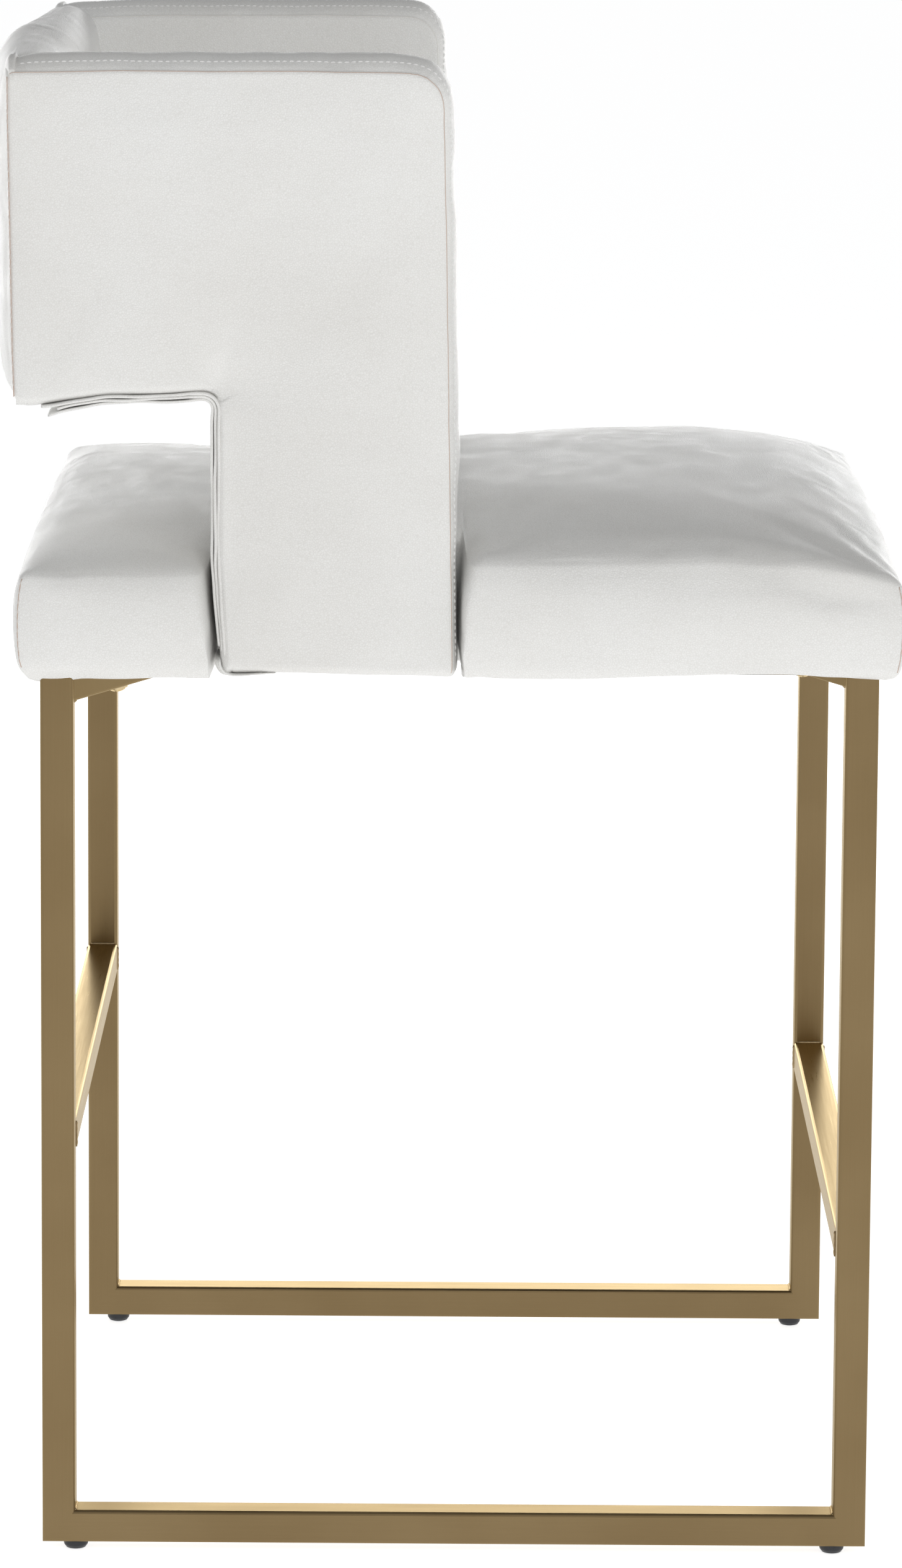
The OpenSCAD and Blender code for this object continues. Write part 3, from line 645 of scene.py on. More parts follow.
def build_arm(side, sx, dfront, dtop, seed):
    cy = lines([YF, YP, YR], 7.0, EDGE)
    rz = lines([ZB, ZW, ZT], 7.0, EDGE)
    iP, iR = int(np.argmin(abs(cy - YP))), len(cy) - 1
    jW, jT = int(np.argmin(abs(rz - ZW))), len(rz) - 1
    ids = -np.ones((len(cy), len(rz)), int)
    P = []
    for i in range(len(cy)):
        for j in range(len(rz)):
            if i <= iP or j >= jW:
                ids[i, j] = len(P)
                P.append((cy[i], rz[j]))
    P = np.array(P)
    y, z = arm_map(P[:, 0], P[:, 1], dfront, dtop)
    n = len(P)
    quads = []
    for i in range(len(cy) - 1):
        for j in range(len(rz) - 1):
            q = (ids[i, j], ids[i + 1, j], ids[i + 1, j + 1], ids[i, j + 1])
            if min(q) >= 0:
                quads.append(q)
    # boundary loop
    loop, kind = [], []
    for j in range(jW, jT):
        loop.append(ids[iR, j]); kind.append("rear")
    for i in range(iR, 0, -1):
        loop.append(ids[i, jT]); kind.append("top")
    for j in range(jT, 0, -1):
        loop.append(ids[0, j]); kind.append("front")
    for i in range(0, iP):
        loop.append(ids[i, 0]); kind.append("bottom")
    for j in range(0, jW):
        loop.append(ids[iP, j]); kind.append("post")
    for i in range(iP, iR):
        loop.append(ids[i, jW]); kind.append("wing")
    loop = np.array(loop)
    LP = np.stack([y[loop], z[loop]], 1)
    nl = len(loop)
    T = np.roll(LP, -1, 0) - np.roll(LP, 1, 0)
    T /= np.linalg.norm(T, axis=1)[:, None] + 1e-9
    NRM = np.stack([T[:, 1], -T[:, 0]], 1)
    cen = np.array([110.0, 800.0])
    # the loop runs rear-up, top-forward, front-down: anticlockwise or clockwise decides the outward side
    area = 0.5 * np.sum(LP[:, 0] * np.roll(LP[:, 1], -1) - np.roll(LP[:, 0], -1) * LP[:, 1])
    if area < 0:
        NRM = -NRM
    H = np.array([{"rear": -0.6, "top": 9.0, "front": 5.4, "bottom": 1.6, "post": 0.8, "wing": 0.8}[k] for k in kind])
    VAL = np.array([{"rear": 1.0, "top": 1.0, "front": 1.0, "bottom": 0.0, "post": 0.0, "wing": 0.0}[k] for k in kind])
    seg = np.linalg.norm(np.roll(LP, -1, 0) - LP, axis=1)
    S = np.concatenate([[0], np.cumsum(seg)])[:-1]
    tot = seg.sum()

    def soften(A, w):
        out = np.empty(nl)
        for i in range(nl):
            d = np.abs(S - S[i])
            d = np.minimum(d, tot - d)
            g = np.exp(-(d / w) ** 2) * (seg + np.roll(seg, 1))
            out[i] = (A * g).sum() / g.sum()
        return out
    H = np.where(np.array(kind) == "front", tab(LP[:, 1], [(545, 2.6), (620, 2.8), (665, 5.4)]), H)
    H2, VAL2 = soften(H, 9.0), soften(VAL, 3.0)
    NRM = np.stack([soften(NRM[:, 0], 1.6), soften(NRM[:, 1], 1.6)], 1)
    NRM /= np.linalg.norm(NRM, axis=1)[:, None]
    d, near = poly_dist(np.stack([y, z], 1), LP)
    val = VAL2[near]
    dent = np.exp(-(((y - 141) / 15) ** 2 + ((z - 724) / 15) ** 2))

    def panel(s0, sgn, crown):
        s = crown * (1 - np.exp(-d / 15.0)) * sgn
        s = s - sgn * val * (0.95 * np.exp(-(d / 1.15) ** 2))
        s = s - sgn * (1 - val) * 3.2 * np.clip(1 - d / 3.6, 0, 1) ** 2
        if sgn > 0:
            s = s - 2.6 * dent
        return s0 + s
    V = []
    so, si = panel(S_OUT, 1, 2.5), panel(S_IN, -1, 2.2)
    for k in range(n):
        V.append((so[k], y[k], z[k]))
    for k in range(n):
        V.append((si[k], y[k], z[k]))
    F = [q for q in quads] + [tuple(i + n for i in reversed(q)) for q in quads]
    # band
    T2 = (S_OUT - S_IN) / 2
    st = [0.7, 1.5, 2.6, 4.2, 6.6, 9.6, 13.5, 18.3]
    qs = [q for q in st] + [T2] + [2 * T2 - q for q in reversed(st)]
    base = len(V)
    for k in range(nl):
        p, nn, h, vv = LP[k], NRM[k], H2[k], VAL2[k]
        s_a, s_b = so[loop[k]], si[loop[k]]
        for q in qs:
            e = min(q, 2 * T2 - q)
            u = 1 - e / T2
            g = h * (1 - u ** 2.7) - vv * 0.8 * math.exp(-(e / 1.15) ** 2)
            if vv < 0.5:
                g += (1 - vv) * 0.6 * min(1, e / 3)
            s = s_a + (s_b - s_a) * q / (2 * T2)
            V.append((s, p[0] + nn[0] * g, p[1] + nn[1] * g))
    m = len(qs)
    for k in range(nl):
        k2 = (k + 1) % nl
        rowa = [loop[k]] + [base + k * m + j for j in range(m)] + [loop[k] + n]
        rowb = [loop[k2]] + [base + k2 * m + j for j in range(m)] + [loop[k2] + n]
        for j in range(len(rowa) - 1):
            F.append((rowa[j], rowb[j], rowb[j + 1], rowa[j + 1]))
    V = np.array(V)
    V[:, 0] *= sx
    ob = new_obj(side + "_arm_upholstery", V, F)
    subdivide(ob, 1)
    ARM[side] = dict(loop=LP, kind=kind, H=H2, N=NRM, S=S)

    def pin(Pm):
        dd, nr = poly_dist(Pm[:, 1:3], LP)
        s = np.abs(Pm[:, 0])
        e = np.minimum(np.abs(s - S_OUT), np.abs(s - S_IN))
        w = np.exp(-(np.hypot(dd, e) / 7.0) ** 2)
        hard = np.isin(np.array(kind)[nr], ["post", "wing", "bottom", "rear"]) & (dd < 8)
        back = Pm[:, 1] > 228
        return np.clip(np.where(hard | back, 1.0, w), 0, 1)
    puff(ob, pin, 3.0, 0.0022, voxel=0.006, frames=12)
    # hand-made unevenness: slow waves over the panels, a wavy band, small gathers along the seams
    V = get_v(ob)
    N = get_n(ob)
    Pm = mm_of(V)
    dd, nr = poly_dist(Pm[:, 1:3], LP)
    s = np.abs(Pm[:, 0])
    on_band = np.clip((np.minimum(S_OUT - s, s - S_IN)) / 4.0, 0, 1)
    edge = np.minimum(np.abs(s - S_OUT), np.abs(s - S_IN))
    toseam = np.where(on_band > 0, edge, dd)
    kk = np.array(kind)[nr]
    sewn = np.isin(kk, ["top", "front", "rear"])
    amp = 0.30 * waves(Pm, 75, seed) + 0.12 * waves(Pm, 26, seed + 1)
    amp *= 1 - np.exp(-(dd + edge) / 7)
    bandw = 0.55 * waves(Pm, 46, seed + 2, squash=(0.2, 1, 1)) + 0.22 * waves(Pm, 17, seed + 3, squash=(0.5, 1, 1))
    amp += on_band * bandw * np.where(sewn, 1, 0.25)
    arc = S[nr]
    gather = np.sin(arc * 2 * math.pi / 7.3 + 1.3 * np.sin(arc / 31.0)) * (0.5 + 0.5 * np.sin(arc / 43.0 + seed))
    amp += np.where(sewn, 0.16 * gather * np.exp(-((toseam - 3.0) / 3.0) ** 2), 0)
    # a few soft pull lines from the notch corner and the front top corner
    for (py, pz, ang, ln, wd, a0) in [(146, 716, 62, 60, 6.5, -0.8), (146, 716, 105, 42, 6.0, -0.55), (30, 892, 215, 60, 6, -0.25),
                                      (255, 716, 120, 60, 7, -0.35), (20, 560, 60, 70, 7, -0.22), (130, 560, 110, 60, 6, -0.22)]:
        c, sn = math.cos(math.radians(ang)), math.sin(math.radians(ang))
        u = (Pm[:, 1] - py) * -c * -1 + (Pm[:, 2] - pz) * sn
        w = -(Pm[:, 1] - py) * sn + (Pm[:, 2] - pz) * c
        amp += a0 * np.exp(-(w / wd) ** 2) * np.exp(-((u - ln * 0.4) / ln) ** 2) * (on_band < 0.5) * (u > -5)
    V = V + N * amp[:, None] / 1000.0
    set_v(ob, V)
    set_mat(ob, M_WHITE)
    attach(ob, "root")
    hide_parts(side + "_arm_cover", side + "_arm_foam")
    return ob


# the sitter's left arm was sewn a little shorter at the front than the right one
arms = {"right": build_arm("right", -1, 0.0, [(0, 0), (270, 0)], 11), "left": build_arm("left", 1, 5.0, [(0, -3), (95, -3), (189, -3.5), (268, -4)], 31)}


def arm_threads(side, sx):
    ob, A = arms[side], ARM[side]
    tree = tree_of(ob)
    LP, N2, H, kind, nl = A["loop"], A["N"], A["H"], A["kind"], len(A["loop"])
    T2 = (S_OUT - S_IN) / 2
    top = [k for k in range(nl) if kind[k] in ("top", "front")]
    rear = [k for k in range(nl) if kind[k] == "rear"]
    done = []
    for tag, q in (("outer", 7.0), ("inner", 2 * T2 - 7.5)):
        pts = []
        for k in top:
            e = min(q, 2 * T2 - q)
            g = H[k] * (1 - (1 - e / T2) ** 2.7)
            p = LP[k] + N2[k] * g
            if p[0] < 264 and p[1] > 556:
                pts.append((sx * (S_OUT - q), p[0], p[1]))
        pts = smooth_rows(resample(pts, 3.0), 3)
        Q, N = on_surface(tree, pts)
        N = smooth_rows(N, 2)
        o = stitches("%s_arm_topstitch_%s" % (side, tag), Q, N, 0.0031, 0.0041, 0.00050, sink=0.30)
        set_mat(o, M_THREAD)
        done.append(o)
    # seam lines: a thin beige line down in the valley between panel and band
    for tag, s in (("outer", S_OUT), ("inner", S_IN)):
        pts = [(sx * s, LP[k][0], LP[k][1]) for k in top]
        pts = resample(pts, 2.5)
        Q, N = on_surface(tree, pts, -0.12)
        N = smooth_rows(N, 3)
        o = sweep("%s_arm_seam_%s" % (side, tag), Q, N, circle(0.34, 6))
        set_mat(o, M_SEAM if tag == "outer" else M_EDGE)
        done.append(o)
    for o in done:
        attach(o, "root")


arm_threads("right", -1)
arm_threads("left", 1)


# ------------------------------------------------------------------ folded strips under the wing and down the post
def edge_strips(side, sx, seed):
    rs = np.random.RandomState(seed)
    # the line of the arm's edge, from the rear of the wing to the bottom of the post, with its outward normals
    y_w = np.linspace(252, 157, 34)
    path = [(y, float(tab(y, W_TAB)) - 0.2) for y in y_w]
    cyf, czf, R = 154.3, 706.0, 11.0
    path += [(cyf + R * math.cos(math.radians(a)), czf + R * math.sin(math.radians(a))) for a in np.linspace(98, 176, 9)]
    path += [(float(tab(z, P_TAB)) + 0.3, z) for z in np.linspace(700, 556, 44)]
    path = np.array(path)
    Q0 = resample(np.stack([np.zeros(len(path)), path[:, 0], path[:, 1]], 1), 3.0)
    T = np.gradient(Q0, axis=0)
    T /= np.linalg.norm(T, axis=1)[:, None]
    N0 = np.stack([np.zeros(len(T)), -T[:, 2], T[:, 1]], 1)
    N0 = np.where((N0 @ np.array([0, 1.0, -1.0]))[:, None] < 0, -N0, N0)
    N0 = smooth_rows(N0, 4)
    n = len(Q0)
    L = np.concatenate([[0], np.cumsum(np.linalg.norm(np.diff(Q0, axis=0), axis=1))])
    tot = L[-1]
    V, F = [], []
    layers = [(1.3, 2.3, 254.2, 0.0), (3.5, 2.1, 253.2, 1.1), (5.6, 1.9, 251.8, 2.3)]
    for li, (off, th, s_out, ph) in enumerate(layers):
        base = len(V)
        start = [0, 3, 1][li]
        end = n - [0, 1, 2][li]
        rows = range(start, end)
        # section: a flattened tube, folded along its outer edge
        wd0 = 42.0
        sec = []
        for a in np.linspace(-90, 90, 7):
            sec.append((math.cos(math.radians(a)) * th * 0.5, math.sin(math.radians(a)) * th * 0.5))
        for i in rows:
            l = L[i]
            wing = 1 if l < 92 else 0
            wob = 0.35 * math.sin(l / 9.0 + ph * 2) + 0.3 * math.sin(l / 23.0 + ph) + 0.15 * math.sin(l / 4.1 + ph)
            o = off + (wob if wing else wob * 0.45)
            squeeze = 1.0 - 0.35 * math.exp(-((tot - l) / 26.0) ** 2) - 0.18 * math.exp(-((l - 100) / 9.0) ** 2)
            o = o * squeeze
            flap = math.exp(-(l / 14.0) ** 1.6)
            o += flap * [1.0, 3.2, 4.4][li] * 0.75
            so = s_out + 0.6 * math.sin(l / 17.0 + ph * 3) + 0.3 * math.sin(l / 6.3 + ph)
            c = Q0[i] + N0[i] * o
            thk = 1.0 if not wing else 0.85
            # outer fold, then back along the underside to the inner edge
            pts = [(so - th * 0.5 + dx, dz * thk) for dx, dz in sec]
            pts += [(so - 10, th * 0.5 * thk), (so - 24, th * 0.5 * thk), (so - wd0 + 1, th * 0.4 * thk), (so - wd0, 0), (so - wd0 + 1, -th * 0.4 * thk), (so - 24, -th * 0.5 * thk), (so - 10, -th * 0.5 * thk)]
            for s, u in pts:
                V.append((sx * s, c[1] + N0[i][1] * u, c[2] + N0[i][2] * u))
        m = 14
        k = len(list(rows))
        for a in range(k - 1):
            for b in range(m):
                F.append((base + a * m + b, base + a * m + (b + 1) % m, base + (a + 1) * m + (b + 1) % m, base + (a + 1) * m + b))
        F.append(tuple(base + b for b in range(m))[::-1])
        F.append(tuple(base + (k - 1) * m + b for b in range(m)))
    ob = new_obj(side + "_arm_edge_folds", V, F)
    subdivide(ob, 1)
    set_mat(ob, M_WHITE)
    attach(ob, "root")
    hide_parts(side + "_arm_edge_trim")
    # the strips' ends, tucked under the foot of the post
    V, F = [], []
    for li in range(3):
        pts = [(144.5 - li * 0.3 + 2.2 * li * 0.5, 556), (144.0 + li * 1.2, 551), (141.5 + li * 0.9, 547.2 - li * 0.3), (137 - li * 1.2, 545.8 - li * 0.35), (128 - li * 3, 546.0 + 0.1 * li), (118 - li * 4, 547.0)]
        P3 = resample([(0, a, b) for a, b in pts], 2.2)
        Tn = np.gradient(P3, axis=0)
        Tn /= np.linalg.norm(Tn, axis=1)[:, None]
        base = len(V)
        for i, p in enumerate(P3):
            nn = np.array([0, -Tn[i][2], Tn[i][1]])
            taper = 1 - 0.5 * i / len(P3)
            s1 = 254.6 - li * 1.4 + 0.4 * math.sin(i * 0.9 + li)
            s0 = s1 - 40
            r = 0.95 * taper
            ring = [(s1 - r + math.cos(math.radians(a)) * r, math.sin(math.radians(a)) * r) for a in np.linspace(-90, 90, 5)]
            ring += [(s0 + 2, r * 0.8), (s0, 0), (s0 + 2, -r * 0.8)]
            for s, u in ring:
                V.append((sx * s, p[1] + nn[1] * u, p[2] + nn[2] * u))
        m = 8
        for a in range(len(P3) - 1):
            for b in range(m):
                F.append((base + a * m + b, base + a * m + (b + 1) % m, base + (a + 1) * m + (b + 1) % m, base + (a + 1) * m + b))
        F.append(tuple(base + b for b in range(m))[::-1])
        F.append(tuple(base + (len(P3) - 1) * m + b for b in range(m)))
    t = new_obj(side + "_arm_fold_ends", V, F)
    subdivide(t, 1)
    set_mat(t, M_WHITE)
    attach(t, "root")


edge_strips("right", -1, 3)
edge_strips("left", 1, 4)


# ------------------------------------------------------------------ back
def build_back():
    XE = 254.6
    xs_half = lines([0, 207.3, 210.5, XE], 8.0, EDGE)
    xs = np.concatenate([-xs_half[::-1], xs_half[1:]])
    N1 = dict(front=22, roll=11, top=4, rround=12, rear=24, brear=6, under=8, bfront=5)

    def section(X):
        ax = abs(X)
        t = ax / XE
        bow = 1 - (t * t + 0.012) ** 0.75 + 0.0013
        inner = ax < 209
        q = XE - ax
        uu = (ax - (S_OUT + S_IN) / 2) / ((S_OUT - S_IN) / 2)
        if inner:
            e = 207.6 - ax
            ztop = float(tab(X, [(-208, 913.0), (-120, 914.5), (0, 915.0), (120, 914.0), (208, 913.0)])) - 0.5 * math.exp(-max(e, 0) / 7.0)
            rec = 2.4 * math.exp(-max(e, 0) / 13.0)
            yf0, yf1 = 233.5 + rec, 241.5 + rec * 0.7
            r = 20.0
        else:
            ztop = 908.4 + 9.2 * max(0, 1 - abs(uu) ** 2.7) - (4.0 if X > 0 else 0.0)
            yf0, yf1, r = 265.5, 265.5, 2.0
        zb = 709.0 + (0.8 * bow)
        pts = []
        zr = ztop - r
        if not inner:
            ztop -= 0.4
        zf = np.linspace(zb + 7, zr, N1["front"], endpoint=False)
        for z in zf:
            k = (z - zb) / (zr - zb)
            pts.append((yf0 + (yf1 - yf0) * k - (2.6 * math.sin(math.pi * min(1, k)) if inner else 0), z))
        cyr = yf1 + r
        for a in np.linspace(180, 90, N1["roll"], endpoint=False):
            pts.append((cyr + r * math.cos(math.radians(a)), zr + r * math.sin(math.radians(a))))

        def rear_y(z):
            y0 = float(tab(z, [(700, 266.0), (712, 266.8), (742, 268.0), (803, 269.2), (878, 270.6), (920, 270.8)]))
            B = float(tab(z, [(700, 23.5), (712, 25.0), (740, 26.2), (841, 28.0), (870, 27.5), (920, 27.0)]))
            y = y0 + B * bow
            y -= 1.1 * math.exp(-(q / 1.3) ** 2) + 1.6 * math.exp(-q / 5.0)
            return y
        av, ah = 14 + 25 * bow, 5 + 23 * bow
        zc = ztop - av
        yc = max(rear_y(zc) - ah, cyr + 1.5)
        ah = max(rear_y(zc) - yc, 1.0)
        for k in range(N1["top"]):
            pts.append((cyr + (yc - cyr) * k / N1["top"], ztop))
        for a in np.linspace(90, 0, N1["rround"], endpoint=False):
            c, s = math.cos(math.radians(a)), math.sin(math.radians(a))
            pts.append((yc + ah * c, zc + av * s))
        for z in np.linspace(zc, zb + 9, N1["rear"], endpoint=False):
            pts.append((rear_y(z), z))
        rb = 8.0
        yb = rear_y(zb + 9)
        for a in np.linspace(0, -90, N1["brear"], endpoint=False):
            pts.append((yb - rb * (1 - math.cos(math.radians(a))) * 0.75, zb + 9 + 9 * math.sin(math.radians(a))))
        y1 = yb - rb * 0.75
        y0 = yf0 + (6 if inner else 0.2)
        for k in range(N1["under"]):
            s = k / N1["under"]
            pts.append((y1 + (y0 - y1) * s, zb + (1.2 * math.sin(math.pi * s) if inner else 0)))
        for a in np.linspace(-90, -180, N1["bfront"], endpoint=False):
            rr = 6 if inner else 0.2
            pts.append((yf0 + rr + rr * math.cos(math.radians(a)), zb + 7 + 7 * math.sin(math.radians(a))))
        return pts
    rows = [section(x) for x in xs]
    m = len(rows[0])
    V = [(x, y, z) for x, row in zip(xs, rows) for y, z in row]
    F = []
    for i in range(len(xs) - 1):
        for j in range(m):
            F.append((i * m + j, i * m + (j + 1) % m, (i + 1) * m + (j + 1) % m, (i + 1) * m + j))
    F.append(tuple(range(m))[::-1])
    F.append(tuple((len(xs) - 1) * m + j for j in range(m)))
    ob = new_obj("back_upholstery", V, F)
    subdivide(ob, 1)

    def pin(P):
        ax = np.abs(P[:, 0])
        w = np.exp(-((XE - ax) / 10) ** 2)
        w = np.maximum(w, np.exp(-((ax - 208) / 9) ** 2) * (P[:, 1] < 262))
        w = np.maximum(w, np.exp(-((P[:, 2] - 709) / 7) ** 2))
        w = np.where((ax > 207) & (P[:, 1] < 268), 1, w)
        return np.clip(w, 0, 1)
    puff(ob, pin, 3.0, 0.0030, voxel=0.006, frames=12)
    V = get_v(ob)
    N = get_n(ob)
    P = mm_of(V)
    ax = np.abs(P[:, 0])
    free = 1 - np.exp(-np.maximum(XE - ax, 0) / 9)
    amp = (0.45 * waves(P, 95, 51) + 0.16 * waves(P, 33, 52)) * free
    # curved wrinkles over the roll near each arm
    ringc = np.hypot(P[:, 1] - 262, (P[:, 2] - 893))
    e = 207.6 - ax
    m1 = (e > -1) & (P[:, 1] < 285) & (P[:, 2] > 850)
    wr = np.sin(e * 2 * math.pi / 8.5 + 1.6 * waves(P, 40, 53) + 0.04 * ringc) * np.exp(-np.maximum(e, 0) / 16)
    amp += np.where(m1, 0.42 * wr, 0)
    # gathers at the corner seams
    g = np.sin(P[:, 2] * 2 * math.pi / 8.1 + 1.2 * np.sin(P[:, 2] / 29.0))
    amp += np.where(P[:, 1] > 264, 0.16 * g * np.exp(-((XE - ax - 3.5) / 3.5) ** 2), 0)
    V = V + N * amp[:, None] / 1000
    set_v(ob, V)
    set_mat(ob, M_WHITE)
    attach(ob, "root")
    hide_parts("back_cover", "back_front_foam", "back_rear_foam")
    # corner seams: dashes of thread in the valley between the arm panel and the back
    for side, sx in (("right", -1), ("left", 1)):
        tree = tree_of(arms[side])
        pts = [(sx * (S_OUT + 0.2), float(tab(z, R_TAB)) + 0.1, z) for z in np.linspace(905, 714, 90)]
        Q, N = on_surface(tree, pts)
        N = np.array([[sx * 0.86, 0.5, 0.0]] * len(Q))
        Q = to_m(np.array(pts)) + N * 0.0000
        o = stitches(side + "_corner_stitch", Q, N, 0.0032, 0.0058, 0.00034, sink=0.3, tilt=0.06)
        set_mat(o, M_DASH)
        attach(o, "root")
        o2 = sweep(side + "_corner_seam", Q, N, circle(0.36, 6, -0.35))
        set_mat(o2, M_SEAM)
        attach(o2, "root")
    return ob


back = build_back()


# ------------------------------------------------------------------ seat
NX = 203.5         # the seat's wall beside a post
EDGE_LOW = [(-271, 546), (-260, 546), (-233, 548), (-203, 550), (-167, 550), (-110, 548), (-61, 546), (-1, 546), (154, 544.5), (180, 545), (233, 543.5), (245, 541.5), (271, 542.5)]
SIDE_LOW = [(540, 11.0), (546, 7.5), (549.5, 4.0), (556, 2.2), (563, 1.2), (573, 0.3), (583, 0.0), (620, 0.0)]
SIDE_TOP = [(540, 0.0), (583, 0.0), (596, 0.9), (606, 2.6), (615, 6.0)]


def smooth01(t):
    t = np.clip(t, 0, 1)
    return t * t * (3 - 2 * t)


def rim_k(c):
    """How soft the top edge is, 0.42 at a corner and 1 well away from it. c is the distance along the edge from the corner."""
    return 0.42 + 0.58 * smooth01(c / 85.0)


def crown(x_e, y_e, X, Y):
    """Height of the top over the plan. x_e and y_e are distances in from the rim."""
    ze = tab(Y, [(-268, 608.5), (-235, 616.0), (-200, 620.5), (-150, 622.5), (-90, 621.5), (0, 618.5), (90, 614.5), (160, 612.0), (230, 611.3), (268, 611.0)])
    ze = ze + 2.5 * smooth01((-X - 60) / 120.0) * smooth01((262 - np.abs(Y)) / 60.0)
    dome = tab(Y, [(-262, 10), (-225, 15.5), (-150, 20.5), (0, 21.0), (120, 19), (200, 16.5), (240, 13), (262, 10)])
    top = ze + dome * np.clip(1 - (np.abs(X) / 246.0) ** 2.5, 0, 1)

    def drop(d, k):
        R = 12.0 + 10.0 * (k - 0.42) / 0.58
        d = np.maximum(d, 0) + 6.0 * k
        q = np.clip(R - d, 0, R)
        return R - np.sqrt(np.clip(R * R - q * q, 0, None)) + 1.4 * k * np.exp(-d / 18.0)
    p = 2.4
    dr = (drop(x_e, rim_k(271 - np.abs(Y))) ** p + drop(y_e, rim_k(266 - np.abs(X))) ** p) ** (1 / p)
    return top - dr


def shoulder(Y, z):
    """0 inside the notch beside a post, 1 where the side is full, with a rounded shoulder that is broader at the top."""
    k = np.clip((z - 552) / 84.0, 0, 1.25)
    s = smooth01((z - 563) / 16.0)
    Lr = 0.8 + 2.2 * s + 15.0 * k ** 2.3
    Lf = 0.8 + 1.8 * s + 9.0 * k ** 2.2
    r = (Y > 70)
    yf = tab(z, [(545, -1.0), (552, 0.0), (560, 0.5), (592, 0.5), (612, -1.2), (630, -4.0)])
    yr = tab(z, [(545, 149.2), (552, 148.8), (575, 148.8), (592, 149.8), (612, 150.2)])
    q = np.where(r, (Y - yr) / Lr, (yf - Y) / Lf)
    q = np.clip(q, 0, 1)
    return np.sqrt(np.clip(1 - (1 - q) ** 2.0, 0, 1))


